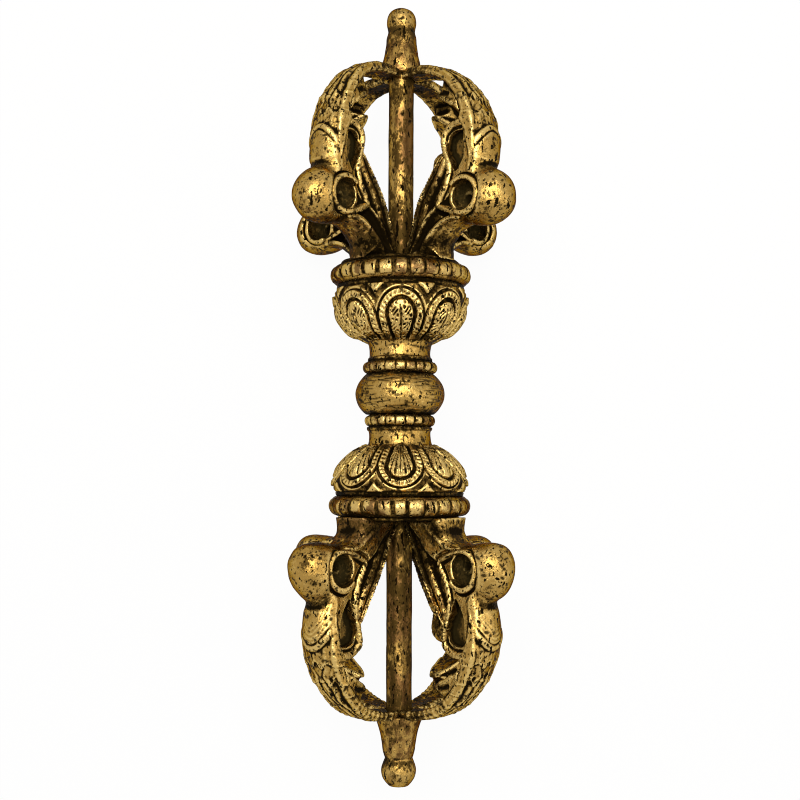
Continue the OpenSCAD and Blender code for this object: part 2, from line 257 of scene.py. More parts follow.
def sampled(values, spots):
    """The values of a grid at places between its cells, given in cells."""
    low = np.clip(np.floor(spots).astype(int), 0, np.array(values.shape) - 2)
    part = spots - low
    total = np.zeros(len(spots))
    for corner in np.ndindex(2, 2, 2):
        share = np.prod(np.where(corner, part, 1 - part), axis=1)
        total += share * values[tuple((low + corner).T)]
    return total


def towards(points, end):
    """Turns points built upwards from the bulb's middle so that they lie towards one end."""
    x, y, z = points.T
    return np.stack([z * end, y, -x * end], axis=1)


def settle_hub(points):
    """Moves the bulb and its neighbours a little towards the lower end, where the casting has them."""
    x = points[:, 0]
    shift = HUB_SHIFT * np.clip((HUB_END - np.abs(x)) / HUB_FADE, 0, 1)
    return np.stack([x + shift, points[:, 1], points[:, 2]], axis=1)


def put_marks(mesh, marks):
    """Writes marks of wear and painted shade, one number a point, for the brass to read."""
    for mark, values in marks.items():
        layer = mesh.attributes.new(mark, "FLOAT", "POINT")
        layer.data.foreach_set("value", np.asarray(values, np.float32))


def new_piece(name, points, faces, marks, node, material):
    """A finished piece of the dorje: its mesh in metres, with its marks of wear and painted shade, on the one
    body.
    """
    mesh = bpy.data.meshes.new(name)
    mesh.from_pydata(settle_hub(points) * MM, [], faces.tolist())
    put_marks(mesh, marks)
    mesh.polygons.foreach_set("use_smooth", np.ones(len(mesh.polygons), bool))
    mesh.materials.append(material)
    piece = bpy.data.objects.new(name, mesh)
    bpy.context.scene.collection.objects.link(piece)
    declare(piece, node)


def declare(piece, node):
    """Ties a piece to the dorje's one body and hides the solid that it stands for."""
    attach(piece, "root")
    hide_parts(node)


def turned(profile, sides, relief=None):
    """A solid turned from a closed outline of radius and height, with a relief along its normals."""
    profile = np.asarray(profile, float)
    rows = len(profile)
    run = np.roll(profile, -1, axis=0) - np.roll(profile, 1, axis=0)
    normal = np.stack([run[:, 1], -run[:, 0]], axis=1)
    normal /= np.linalg.norm(normal, axis=1)[:, None] + 1e-12
    turn = 2 * np.pi * np.arange(sides) / sides
    lift = np.zeros((rows, sides)) if relief is None else relief
    radius = profile[:, :1] + normal[:, :1] * lift
    height = profile[:, 1:] + normal[:, 1:] * lift
    points = np.stack([radius * np.cos(turn), radius * np.sin(turn), height], axis=-1).reshape(-1, 3)
    i, j = np.meshgrid(np.arange(rows), np.arange(sides), indexing="ij")
    a = i * sides + j
    b = i * sides + (j + 1) % sides
    c = ((i + 1) % rows) * sides + (j + 1) % sides
    d = ((i + 1) % rows) * sides + j
    faces = np.stack([a, b, c, d], axis=-1).reshape(-1, 4)
    return points, faces


def relief_marks(lift, reach):
    """How hollow and how raised a relief is against its surroundings, each from 0 to 1."""
    wrap = np.concatenate([lift[:, -4 * reach :], lift, lift[:, : 4 * reach]], axis=1)
    mean = box_blur(box_blur(wrap, reach), reach)[:, 4 * reach : -4 * reach]
    off = lift - mean
    return {
        "hollow": np.clip(-off / 0.16, 0, 1).ravel(),
        "raised": np.clip(off / 0.12, 0, 1).ravel(),
    }


def even_steps(points, gap):
    """The same open line with points about a gap apart."""
    p = np.asarray(points, float)
    far = np.concatenate([[0], np.cumsum(np.linalg.norm(np.diff(p, axis=0), axis=1))])
    t = np.linspace(0, far[-1], max(2, int(round(far[-1] / gap)) + 1))
    return np.stack([np.interp(t, far, p[:, 0]), np.interp(t, far, p[:, 1])], axis=1)


def soft_noise(points, seed, size):
    """A smooth wobble from -1 to 1 over points, made of a few waves."""
    draw = np.random.default_rng(seed)
    value = np.zeros(len(points))
    for _ in range(6):
        way = draw.normal(size=3)
        way /= np.linalg.norm(way)
        value += np.sin(points @ way * 2 * np.pi / (size * draw.uniform(0.7, 1.4)) + draw.uniform(0, 6.28))
    return value / 3.5


def outward(points, faces):
    """The direction away from the metal at each point of a mesh of four-cornered faces."""
    a, b, c, d = (points[faces[:, i]] for i in range(4))
    way = np.cross(c - a, d - b)
    total = np.zeros_like(points)
    for i in range(4):
        for axis in range(3):
            total[:, axis] += np.bincount(faces[:, i], way[:, axis], len(points))
    return total / (np.linalg.norm(total, axis=1)[:, None] + 1e-12)


def cast_skin(points, faces, marks, seed, pits, shown=None, streaks=0, swell=1):
    """Gives a piece its casting pits, scraped streaks and slight hand-worked unevenness."""
    draw = np.random.default_rng(seed)
    way = outward(points, faces)
    shown = np.arange(len(points)) if shown is None else np.flatnonzero(shown)
    uneven = swell * (0.09 * soft_noise(points, seed + 90, 6) + 0.03 * soft_noise(points, seed, 2.6))
    drop = np.zeros(len(points))
    dark = np.zeros(len(points))
    order = np.argsort(points[:, 2])
    level = points[order, 2]
    facing = shown[(points[shown, 0] < -0.4 * np.hypot(points[shown, 0], points[shown, 1]).max())]
    scraped = draw.choice(facing, streaks) if streaks else np.zeros(0, int)
    for spot in scraped:
        first, last = np.searchsorted(level, points[spot, 2] + np.array([-0.6, 0.6]))
        near = order[first:last]
        gap = points[near] - points[spot]
        around = np.array([-points[spot, 1], points[spot, 0], draw.uniform(-0.6, 0.6)])
        around /= np.linalg.norm(around)
        ahead = gap @ around
        beside = np.linalg.norm(gap - np.outer(ahead, around), axis=1)
        d = np.hypot(ahead / draw.uniform(0.5, 2.0), beside / draw.uniform(0.1, 0.16))
        drop[near] = np.maximum(drop[near], 0.08 * np.exp(-(d**2)))
        dark[near] = np.maximum(dark[near], np.clip(1.7 - 1.3 * d, 0, 0.95))
    for spot in draw.choice(shown, pits):
        size = 0.1 + 0.17 * draw.random() ** 2.5
        first, last = np.searchsorted(level, points[spot, 2] + np.array([-4, 4]) * size)
        near = order[first:last]
        gap = points[near] - points[spot]
        long_way = draw.normal(size=3)
        long_way /= np.linalg.norm(long_way)
        gap -= np.outer(gap @ long_way, long_way) * draw.uniform(0.1, 0.72)
        d = np.linalg.norm(gap, axis=1) / size
        drop[near] = np.maximum(drop[near], 0.32 * size * np.exp(-(d**3)))
        dark[near] = np.maximum(dark[near], np.clip(2.7 - 1.9 * d, 0, 1))
    live = np.zeros(len(points))
    live[shown] = 1
    marks = dict(marks)
    marks["pit"] = dark
    return points + way * (live * uneven - drop)[:, None], marks


# The carved prong: r is the distance from the dorje's axis, w across the prong, h above its seat

SPINE = smooth_line(
    [(3.5, -0.4), (3.7, 2), (4.5, 5.5), (5.9, 10), (7.2, 12.6), (9.2, 15.6), (10.9, 18.1), (12.2, 19.6)], 140
)
SPINE_MIDDLE = smooth_line(
    [(4.7, -0.4), (4.9, 2), (5.7, 5.2), (7.0, 9.5), (8.2, 12), (10.1, 14.8), (11.6, 17.1), (12.0, 17.7)], 140
)
JAW = smooth_line([(12.2, 20.0), (12.2, 21.6), (13.1, 23.3), (15.1, 24.5), (17.4, 24.6)], 60)
BACK = smooth_line(
    [
        (19.3, 24), (20.1, 19), (20.2, 15.5), (19.6, 12), (18.6, 8.4), (16.6, 6.2), (13.8, 4.6), (12.0, 2.6),
        (12.0, 1.0), (12.5, -0.4),
    ],
    140,
)
LIP = smooth_line(
    [
        (17, 24.2), (15, 23.9), (13.3, 22.6), (12.9, 21.2), (13.3, 19.4), (14.2, 17.6),
        (14.6, 15), (13.9, 12.6), (12.4, 10.5), (12.1, 9.2), (14.1, 8.2), (16.6, 7.2),
    ],
    200,
)
FOLD = smooth_line([(5.6, 0.2), (6.3, 3), (7.9, 6.2), (9.8, 8.3), (12.1, 9.4)], 80)
RIDGE = smooth_line([(8.2, 0.1), (8.7, 1.5), (10.0, 3.7), (12.0, 5.4), (14.6, 6.4), (17.0, 6.5)], 80)
PANEL_EDGE = smooth_line([(13.3, 19.4), (14.2, 17.6), (14.6, 15), (13.9, 12.6), (12.4, 10.5)], 60)
PANEL = np.vstack([SPINE, PANEL_EDGE, FOLD[::-1]])
# The scoop under the snout, between the fold and the ridge up the foot's corner
SCOOP = np.vstack([FOLD, [(14.1, 8.4), (16.6, 7.4)], RIDGE[::-1]])
MOUTH = smooth_line(
    [
        (14.2, 18.4), (13.9, 20.2), (14.5, 21.7), (16.0, 22.4), (17.8, 22.1), (18.4, 19.5),
        (18.3, 17.2), (17.4, 15.6), (16.4, 15.0), (15.7, 15.6), (15.2, 17.0), (14.2, 18.4),
    ],
    80,
)
EYE_R = 18.6
EYE_H = 10.25
# Middle of the snout, and its reach outwards, inwards, across and along
SNOUT_R = 21.7
SNOUT_H = 10.0
SNOUT_OUT = 5.35
SNOUT_IN = 8.0
SNOUT_W = 4.75
SNOUT_TALL = 5.2
# How far some blade tips reach past the finial's base
TIP_RISE = 1.8
# How far each prong's snout stands up and out, and its shoulder, belly, spine and foot, from the common shape
PRONG_SHIFTS = {
    "upper_prong_1": (-0.3, 0.2, 1.1, -0.5, 0.9, 0.0),
    "upper_prong_2": (-0.3, 0.2, 0.4, 0.2, 0.6, 0.0),
    "upper_prong_3": (-1.1, 0.1, 0.2, 0.0, 0.4, 0.0),
    "upper_prong_4": (-1.4, 0.5, 0.2, 0.0, 0.4, 0.0),
    "lower_prong_1": (-2.0, 0.4, 0.5, 0.6, 1.2, 1.8),
    "lower_prong_2": (-2.1, -0.3, 0.2, 0.4, 1.1, 1.6),
    "lower_prong_3": (-2.4, 0.0, 0.0, 0.2, 0.8, 1.2),
    "lower_prong_4": (-2.4, 0.0, 0.0, 0.2, 0.8, 1.2),
}
# How an end's prongs are cut: depth of the scoop, count and depth of the lip's notches, growth rings, beads
PRONG_CUTS = {"upper": (0.9, 19, 0.24, 0.0, 0.0), "lower": (0.0, 27, 0.25, 0.07, 0.05)}
PRONG_PITS = 1200
# How far the four prongs of an end are turned together round the axis, in degrees
CROWN_TURNS = {"upper": 1.5, "lower": -2.0}


def prong_field(cell, cuts):
    """Distances from one prong's surface on a grid, and where that grid starts."""
    scoop, notches, notch, growth, beads = cuts
    r = np.arange(1.8, 27.9, cell)
    w = np.arange(0, 5.9, cell)
    h = np.arange(-0.7, PRONG_H + 2.4, cell)
    flat_r, flat_h = np.meshgrid(r, h, indexing="ij")
    across = w[None, :, None]

    def deep(values):
        return values[:, None, :]

    plate = from_outline(flat_r, flat_h, np.vstack([SPINE, JAW, BACK]))
    lip_d, lip_at, lip_side = from_line(flat_r, flat_h, LIP)

    # Half width of the head: a flared foot and full cheeks, with a panel sunk between lip and spine
    half = 3.4 + 0.7 * bump(flat_h / 2.2) + 0.1 * bump((flat_h - 10) / 4)
    half -= 0.6 * step((flat_h - 18) / 3)
    half -= 0.5 * bump((lip_d - 1.0) / 0.32)
    sunk = step((-from_outline(flat_r, flat_h, PANEL) - 0.25) / 0.35)
    half -= (half - 1.25) * sunk
    scooped = step((-from_outline(flat_r, flat_h, SCOOP) - 0.5) / 0.5)
    half -= scoop * scooped * step((flat_h - 1) / 1.5)
    rounding = 1.0 + (3.4 if scoop else 1.0) * step((4.5 - flat_h) / 4) * step((flat_r - 8) / 2)
    body = soft_max(deep(plate), across - deep(half), deep(rounding))
    spine_d = from_line(flat_r, flat_h, SPINE_MIDDLE)[0]
    body = soft_min(body, (np.hypot(deep(spine_d) / 1.2, across / 1.95) - 1) * 1.2, 0.25)

    # The snout, an egg that narrows inwards, and the flat cheek on it that carries the eye
    egg_r = (flat_r - SNOUT_R) / np.where(flat_r > SNOUT_R, SNOUT_OUT, SNOUT_IN)
    egg_h = (flat_h - SNOUT_H) / SNOUT_TALL
    egg = (np.sqrt(deep(egg_r) ** 2 + (across / SNOUT_W) ** 2 + deep(egg_h) ** 2) - 1) * 4.8
    body = soft_min(body, egg, 1.2)
    blade = blade_field(flat_r, flat_h, across, deep, growth, beads)
    body = soft_min(body, blade, deep(0.3 + 1.9 * step((16 - flat_h) / 2.5)))

    # The eye: a trough and a ring round a deep socket, open towards the lip, with a curl inside
    ray = np.hypot(flat_r - EYE_R, flat_h - EYE_H)
    angle = np.degrees(np.arctan2(flat_h - EYE_H, flat_r - EYE_R))
    away = np.abs((angle - 190 + 180) % 360 - 180)
    gate = step((44 - away) / 12)
    cheek = 3.75 - 0.06 * (flat_r - EYE_R)
    body = soft_max(body, -soft_max(deep(ray - 3.75), deep(cheek) - across, 0.5), 1.1)
    reach = SNOUT_W * np.sqrt(np.clip(1 - egg_r**2 - egg_h**2, 0, 1))
    trough = np.abs(ray - 3.95) - 0.1 + 0.6 * gate
    floor = np.maximum(np.minimum(reach, cheek + 0.4), half) - 0.35
    body = soft_max(body, -soft_max(deep(trough), deep(floor) - across, 0.2), 0.2)
    ring = np.hypot(deep(ray - 3.2), across - deep(cheek + 0.05)) - deep(0.64 - 1.3 * gate)
    body = soft_min(body, ring, 0.15)
    socket = (np.hypot(deep(ray) / 2.85, (across - 4.0) / 3.3) - 1) * 2.85
    body = soft_max(body, -socket, 0.2)
    curl = np.hypot(flat_r - EYE_R + 0.5, flat_h - EYE_H + 0.4)
    body = soft_min(body, np.hypot(deep(curl - 1.3), across - 1.1) - 0.42, 0.3)
    if scoop:
        for outline, depth in (
            ([(12.7, 9.5), (15.2, 11.1), (15.1, 9.0)], 2.8),
            ([(12.4, 8.2), (14.2, 7.5), (16.4, 6.7), (14.6, 6.2), (12.9, 6.7)], 2.5),
        ):
            dip = from_outline(flat_r, flat_h, np.array(outline))
            body = soft_max(body, -soft_max(deep(dip), depth - across, 0.3), 0.3)

    # The open mouth behind the jaw
    mouth = deep(from_outline(flat_r, flat_h, MOUTH))
    body = soft_max(body, -soft_max(mouth, 0.9 - across, 0.8), 0.35)

    # The toothed lip from the jaw's tip down to the ring under the eye
    lip_w = np.interp(lip_at, [0, 0.25, 0.5, 0.8, 1], [2.3, 2.45, 3.0, 3.3, 3.5])
    count = lip_at * notches + 0.5 * np.sin(lip_at * 37) + 0.25 * lip_d * lip_side
    teeth = bump((count % 1 - 0.5) / 0.15) * (0.6 + 0.4 * np.sin(lip_at * 61))
    teeth = teeth * step((lip_at - 0.12) / 0.06) * step((0.84 - lip_at) / 0.05)
    lip_size = np.interp(lip_at, [0, 0.3, 0.5, 1], [0.6, 0.58, 0.56, 0.42]) - notch * teeth
    body = soft_min(body, np.hypot(deep(lip_d), across - deep(lip_w)) - deep(lip_size), 0.25)

    # The ridge up the foot's corner and the fold beside it
    for line, at_w, size in ((RIDGE, 3.3, 0.55), (FOLD, 2.85, 0.4)):
        d = from_line(flat_r, flat_h, line)[0]
        body = soft_min(body, np.hypot(deep(d), across - at_w) - size, 0.4)

    body = soft_min(body, barb_field(flat_r, flat_h, across, deep), 0.35)

    # Room for the rod, the neighbouring prongs, the seat and the finial
    deep_r = deep(flat_r)
    body = np.maximum(body, ROD_R + 0.12 - np.hypot(deep_r, across))
    body = np.maximum(body, (across - deep_r + 0.14) * 0.7)
    body = np.maximum(body, deep(np.maximum(-flat_h, flat_h - PRONG_H - TIP_RISE)))
    body = np.concatenate([body[:, :0:-1, :], body], axis=1)
    return body, (r[0], -w[-1], h[0])


def along_segment(n, w, a, b):
    """Distance in a blade's cross-section from the segment between two moving points."""
    dn = b[0] - a[0]
    dw = b[1] - a[1]
    t = np.clip(((n - a[0]) * dn + (w - a[1]) * dw) / (dn * dn + dw * dw), 0, 1)
    return np.hypot(n - a[0] - t * dn, w - a[1] - t * dw)


def blade_field(flat_r, flat_h, across, deep, growth, beads):
    """Distances from the prong's blade, which swells above the snout and bends in to the rod."""
    start, lift, lean, end = (19.5, 13.2), (22.8, 23.0), (18.8, PRONG_H - 0.6), (1.9, PRONG_H - 0.5)
    t = np.linspace(0, 1, 200)[:, None]
    line = (
        (1 - t) ** 3 * np.array(start)
        + 3 * (1 - t) ** 2 * t * np.array(lift)
        + 3 * (1 - t) * t**2 * np.array(lean)
        + t**3 * np.array(end)
    )
    run = np.sum(np.hypot(*np.diff(line, axis=0).T))
    d, at, side = from_line(flat_r, flat_h, line)
    out = d * side
    wide = np.interp(at, [0, 0.06, 0.13, 0.22, 0.5, 0.75, 1], [3.1, 3.6, 4.05, 4.2, 3.9, 3.1, 2.3])
    crown = np.interp(
        at, [0, 0.05, 0.12, 0.24, 0.34, 0.5, 0.75, 1], [0.5, 1.3, 2.1, 2.2, 1.7, 1.4, 1.0, 0.8]
    )
    inner = np.interp(at, [0, 0.3, 0.5, 0.75, 1], [1.9, 1.9, 1.7, 1.25, 1.1])
    share = np.clip(across / deep(wide), 0, 1.4)
    way = deep(at)

    # A smooth shell over the belly that ends in an arched rim
    arch = 0.305 - 0.09 * share**2
    slope = 0.18 * share / deep(wide)
    ahead = (arch - way) * run / np.sqrt(1 + (run * slope) ** 2)
    shell = step(ahead / 0.16)
    rings = 0.12 * bump((ahead - 0.5) / 0.5) - 0.16 * bump((ahead - 1.2) / 0.22)
    fine = bump((ahead % 0.75 - 0.37) / 0.15) * step((ahead - 1.5) / 0.1) * step((3.8 - ahead) / 0.8)
    rings = rings - growth * fine
    relief = shell * (0.4 + rings)

    # Then uneven rows of pointed scales that overlap towards the tip, and ribs that run on to it
    rows = np.array([0.2, 0.4, 0.5, 2, 3])
    zigzag = np.abs((across / 2.3 + 0.35) % 2 - 1)
    scale_at = way + 0.05 * zigzag + 0.012 * np.sin(across * 3.1 + way * 37)
    row = np.clip(np.searchsorted(rows, scale_at, side="right") - 1, 0, 2)
    grow = np.clip((scale_at - rows[row]) / (rows[row + 1] - rows[row]), 0, 1)
    scaly = (1 - shell) * (row < 2)
    lumps = np.sin(across * 3.6 + 2.5 * np.sin(way * 29)) * np.sin(way * 52 + 1.3 * across)
    lumps = lumps + 0.6 * np.sin(across * 6.5 + 2 * np.sin(way * 47)) * np.sin(way * 83 + 1.9 * across)
    relief = relief + scaly * (0.26 * grow**2 + 0.05 * lumps)
    ribs = np.cos(across * 2 * np.pi / 1.5 + 1.3 * np.sin(way * 33))
    relief = relief + step((way - 0.45) / 0.04) * (0.16 * ribs + 0.05 * lumps)

    hollow = np.interp(at, [0, 0.3, 0.5, 1], [0, 0, 0.9, 0.5])
    top = deep(out) - (deep(crown) * (1 - share**2.3) + relief)
    under = -deep(out) - (deep(inner) - deep(hollow) * np.clip(1 - share**2, 0, 1))
    blade = soft_max(soft_max(top, under, 0.5), across - deep(wide - 0.4), 0.4)

    # A rounded rail along each corner, cut into overlapping lengths
    cuts = np.array([-0.1, 0.4, 0.52, 0.6, 0.9, 1.1])
    slant = at + 0.014 * np.clip(out, -2.5, 2.5)
    which = np.clip(np.searchsorted(cuts, slant, side="right") - 1, 0, 4)
    share_on = np.clip((slant - cuts[which]) / (cuts[which + 1] - cuts[which]), 0, 1)
    flare = np.where(which < 3, share_on**4, 0)
    thick = np.interp(
        at, [0, 0.1, 0.2, 0.36, 0.4, 0.46, 0.7, 1], [0.05, 0.15, 0.38, 0.62, 0.56, 0.52, 0.66, 0.66]
    )
    thick = thick + 0.12 * flare + 0.05 * np.sin(at * 43 + 1.2 * out) * np.sin(at * 71 + 0.7)
    thick = thick + beads * np.sin(at * 2 * np.pi * 30) * step((at - 0.66) / 0.03)
    drop = np.interp(
        at, [0, 0.15, 0.3, 0.38, 0.42, 0.5, 0.75, 1], [0.3, 0.5, 1.2, 1.7, 1.0, 0.8, 0.6, 0.5]
    )
    upper_side = (0.25, deep(wide - 0.6))
    lower_side = (0.25 - deep(drop), deep(wide - 0.4))
    rail = along_segment(deep(out), across, upper_side, lower_side)
    rail = np.maximum(rail - deep(thick), deep(np.where(at < 0.01, d - 3.4, -9)))
    return soft_min(blade, rail, 0.14)


def barb_field(flat_r, flat_h, across, deep):
    """Distances from the leaf-like barb inside the blade's bend."""
    leaf = smooth_line(
        [
            (16.6, 26.2), (14.9, 27.8), (12.6, 28.8), (10.6, 29.7), (9.6, 30.6), (11.2, 31.0),
            (12.4, 31.9), (12.6, 33.2), (15.6, 32), (16.6, 26.2),
        ],
        40,
    )
    flat = from_outline(flat_r, flat_h, leaf)
    half = np.interp(flat_r, [9.6, 10.6, 12, 14.5], [0.5, 1.2, 1.9, 2.6])
    body = soft_max(deep(flat), across - deep(half), 0.4)
    hollow = from_line(flat_r, flat_h, smooth_line([(11.2, 30.3), (12.4, 30.2), (14, 29.7)], 12))[0]
    body = soft_max(body, 0.6 - np.hypot(deep(hollow), across - deep(half) - 0.25), 0.3)
    edge = smooth_line([(10.0, 30.4), (11.2, 29.7), (13.2, 28.8), (15, 27.8)], 16)
    d = from_line(flat_r, flat_h, edge)[0]
    curl = np.hypot(deep(d), across - deep(half) + 0.2) - 0.36
    return soft_min(body, curl, 0.3)


def carve_prong(cell, cuts):
    """Points, faces, and marks of wear and painted shade of one prong, in its own r, w and h."""
    field, origin = prong_field(cell, cuts)
    points, faces = skin_field(field, origin, cell)
    spots = (points - origin) / cell
    fine = np.clip(field, -0.6, 0.6)
    near = sampled(box_blur(box_blur(fine, 1), 1) - fine, spots)
    broad = np.clip(field, -1.6, 1.6)
    middle = sampled(box_blur(box_blur(broad, 4), 4) - broad, spots)
    far = sampled(box_blur(box_blur(broad, 9), 8) - broad, spots)
    r, w, h = points.T
    side = np.abs(w)
    spine = step((1.5 - from_line(r, h, SPINE_MIDDLE)[0]) / 0.5) * step((h - 2) / 3)
    # The eye socket's walls get a fixed painted shade; its floor and the open mouth get dust dark enough to
    # stand for their shade as well
    bowl = step((2.8 - np.hypot(r - EYE_R, h - EYE_H)) / 0.25) * step((side - 1) / 0.3)
    bowl *= step((3.9 - side) / 0.3)
    bed = bowl * step((2.5 - side) / 0.9)
    in_mouth = step((-from_outline(r, h, MOUTH) - 0.1) / 0.2) * step((2.0 - side) / 0.4)
    in_scoop = step((-from_outline(r, h, SCOOP) - 0.4) / 0.5) * step((side - 1) / 0.3)
    facing = outward(points, faces)
    inwards = np.clip(-facing[:, 0], 0, 1)
    # Darker at the top of the blade, on faces turned outwards and towards the tip
    top = step((h - 24.5) / 1.5) * step((np.interp(r, [2, 8, 14, 20], [1.3, 1.9, 2.5, 3.0]) - side) / 0.4)
    top *= step((facing[:, 0] + facing[:, 2] - 0.3) / 0.4)
    # Painted shade: darker on faces turned to the axis, near the axis and low inside the cage of prongs
    painted_cage_shade = 0.3 * inwards + 0.45 * step((9.5 - r) / 3)
    painted_cage_shade += 0.3 * step((13 - r) / 3) * step((14 - h) / 4)
    # Darker towards the foot, outside the scoop
    footing = (0.3 if cuts[0] else 0.1) * step((5 - h) / 4) * (1 - in_scoop)
    # Darker in creases and deep recesses: patina there, and painted shade
    cut = np.clip(-near / 0.05, 0, 1) + 0.7 * np.clip(-middle / 0.2, 0, 1)
    sunk = 0.8 * np.clip(-far / 0.55, 0, 1)
    hollow = np.clip(cut + sunk + painted_cage_shade + footing + 0.1 * top + 0.05 * spine, 0, 1.3)
    marks = {
        # Painted shade on the socket walls in place of the hollow mark
        "hollow": hollow * (1 - bowl) + 0.7 * bowl,
        "raised": np.clip(near / 0.06, 0, 1) * (1 - 0.7 * inwards),
        "stain": 0.5 * spine,
        "dust_and_shade": np.maximum(0.85 * bed, 0.7 * in_mouth),
        "scoop": in_scoop * (cuts[0] > 0),
    }
    if not cuts[0]:
        marks["hollow"] *= 1 - 0.65 * in_scoop
    return points, faces, marks


def settle_prong(points, snout, reach, shoulder, belly, spine, foot):
    """Shifts a prong's parts a little, as no two of the cast prongs are quite alike."""
    r, w, h = points.T
    free = np.clip(h / 4, 0, 1) * np.clip((PRONG_H - h) / 3, 0, 1)
    high = h + snout * bump((h - 9.5) / 6.5) * np.clip(h / 4, 0, 1)
    high = high + shoulder * bump((r - 12) / 6) * step((h - 27) / 4)
    far = r + free * belly * bump((h - 22) / 8) * step((r - 15) / 3)
    far = far + reach * bump((h - 9.5) / 6) * step((r - 17) / 5)
    far = far + free * spine * bump((r - 9) / 5) * step((22 - h) / 3)
    far = far + foot * step((5 - h) / 3) * step((r - 8) / 4)
    # Beside the seat the foot runs on to the rim ring
    beside_seat = step((np.hypot(far, w) - SEAT_R - 0.2) / 0.5)
    high = high - 0.68 * beside_seat * step((1.8 - h) / 1.8)
    return np.stack([far, w, high], axis=1)


# Hub sections


def cup_section(full):
    """Outline of a lotus cup's bowl from its foot to its rim; a full one swells sooner."""
    bowl = smooth_line(
        [
            (6.6, CUP_AT), (7.5 + 0.2 * full, CUP_AT + 0.5 + 0.2 * full), (9.0 + 0.6 * full, CUP_AT + 1.5),
            (10.9 + 0.6 * full, CUP_AT + 3.6), (12.2 + 0.2 * full, CUP_AT + 5.8), (12.7, RIM_AT - 2.4),
            (12.45, RIM_AT - 1.0), (12.2, RIM_AT),
        ],
        70,
    )
    return even_steps(bowl, 0.125)


def petal_relief(bowl, sides, ribbed):
    """Height of the petals over a lotus cup: punched horseshoes, each round a swelling leaf."""
    far = np.concatenate([[0], np.cumsum(np.linalg.norm(np.diff(bowl, axis=0), axis=1))])
    whole = far[-1]
    per = sides // PETALS
    turn = (np.arange(per) - per / 2) * 2 * np.pi / sides
    v, off = np.meshgrid(far, turn, indexing="ij")
    u = off * bowl[:, :1]
    arm = 4.25
    top_v = whole - 2.1 - arm
    arch = [(arm * math.cos(t), top_v + 1.06 * arm * math.sin(t)) for t in np.linspace(0, math.pi, 40)]
    left_leg = [(-arm, top_v - 0.3), (-2.5, -1.5), (-2.3, -6)]
    right_leg = [(-u_at, v_at) for u_at, v_at in reversed(left_leg)]
    d = from_outline(u, v, np.array(arch + left_leg + right_leg))
    lift = np.zeros_like(u)
    lift -= 0.3 * bump((d - 0.1) / 0.16)
    lift += 0.16 * bump((d - 0.5) / 0.2) * step((v - 3) / 1)
    lift += 0.5 * step((-d - 0.12) / 0.14) * step((d + 1.3) / 0.16)
    swing = np.arctan2(v - top_v, u)
    beat = np.where(v > top_v, swing * arm, np.where(u > 0, v - top_v, math.pi * arm - v + top_v))
    slant = beat + 0.5 * (d + 0.7)
    punch = bump(((slant / 1.0 + 0.5) % 1 - 0.5) / 0.26) * bump((d + 0.72) / 0.36)
    lift -= 0.34 * punch * step((v - 1.8) / 0.8)
    lift -= 0.32 * step((-d - 1.34) / 0.14) * step((d + 1.88) / 0.16)
    crown = np.clip((-d - 1.8) / 1.7, 0, 1)
    leaf = step((-d - 1.86) / 0.18)
    lift += leaf * (0.2 + 0.55 * np.sqrt(crown))
    if ribbed:
        fan = np.abs(np.arctan2(u, v - top_v + 6)) * 24
        lift -= leaf * 0.4 * step((np.cos(fan * 2) - 0.7) / 0.2) * step((top_v + 2.0 - v) / 0.6)
        lift += leaf * 0.2 * bump(u / 0.32)
    else:
        lift -= leaf * 0.3 * bump(u / 0.15) * step((top_v + 0.6 - v) / 0.8)
        dent = np.sin(u * 5.2 + 1.7 * np.sin(v * 2.3)) * np.sin(v * 4.1 + 1.9 * np.sin(u * 2.7))
        lift -= leaf * 0.34 * step((dent - 0.45) / 0.2)
    tip_v = whole - 1.25 - v
    tip_u = np.abs(np.abs(off) - math.pi / PETALS) * bowl[:, :1]
    tip = step((tip_v + 0.5) / 0.2) * step((1.3 - tip_u - 0.9 * tip_v) / 0.3)
    lift += 0.42 * tip * step((d - 0.4) / 0.12)
    lift -= 0.2 * bump((whole - 0.8 - v) / 0.16)
    lift *= step((whole - 0.3 - v) / 0.25)
    return np.roll(np.tile(lift, (1, PETALS)), per // 2, axis=1)


# Outline of each finial's outside from the prongs to its end: radius, and height above its base
FINIALS = {
    "upper": [
        (3.6, 0), (3.75, 0.8), (3.7, 2.2), (3.3, 4.2), (3.02, 6), (2.92, 7.2), (2.62, 8.5),
        (2.72, 9.3), (2.87, 10.4), (2.72, 11.6), (2.1, 12.6), (1.0, 13.2), (NEAR_AXIS, 13.35),
    ],
    "lower": [
        (4.5, 0), (4.35, 0.8), (4.0, 1.8), (3.5, 3.6), (3.2, 5.4), (3.05, 6.6), (2.75, 7.6), (2.65, 8.0),
        (2.95, 8.8), (3.25, 9.8), (3.25, 10.8), (2.95, 11.8), (2.2, 12.8), (1.5, 13.3), (NEAR_AXIS, 13.35),
    ],
}


# Materials

# Black of pits and crevice dirt, and of the deepest painted shade
BLACK_DIRT_AND_SHADE = (0.008, 0.005, 0.0015)
# Dust in the eye sockets and mouths, dark enough to be their painted shade too
DUST_AND_SHADE = (0.026, 0.019, 0.006)
# Colour of the brass where it is seen at a low angle
EDGE_TINT = (0.12, 0.09, 0.045, 1)
# Each finish: shares of copper stain, darkness and pits, its roughness, and how far its pattern is drawn out
FINISHES = {
    "prong_brass": (0.05, 0.0, 0.75, 0.26, 1),
    "hub_brass": (0.06, 0.0, 0.75, 0.26, 1),
    "rod_brass": (0.25, 0.4, 0.7, 0.34, 1.7),
    "dark_brass": (0.2, 0.2, 0.6, 0.28, 1.4),
}


def feed(tree, socket, value):
    """Gives a node's input a plain value or another node's output."""
    if isinstance(value, bpy.types.NodeSocket):
        tree.links.new(value, socket)
    else:
        socket.default_value = value


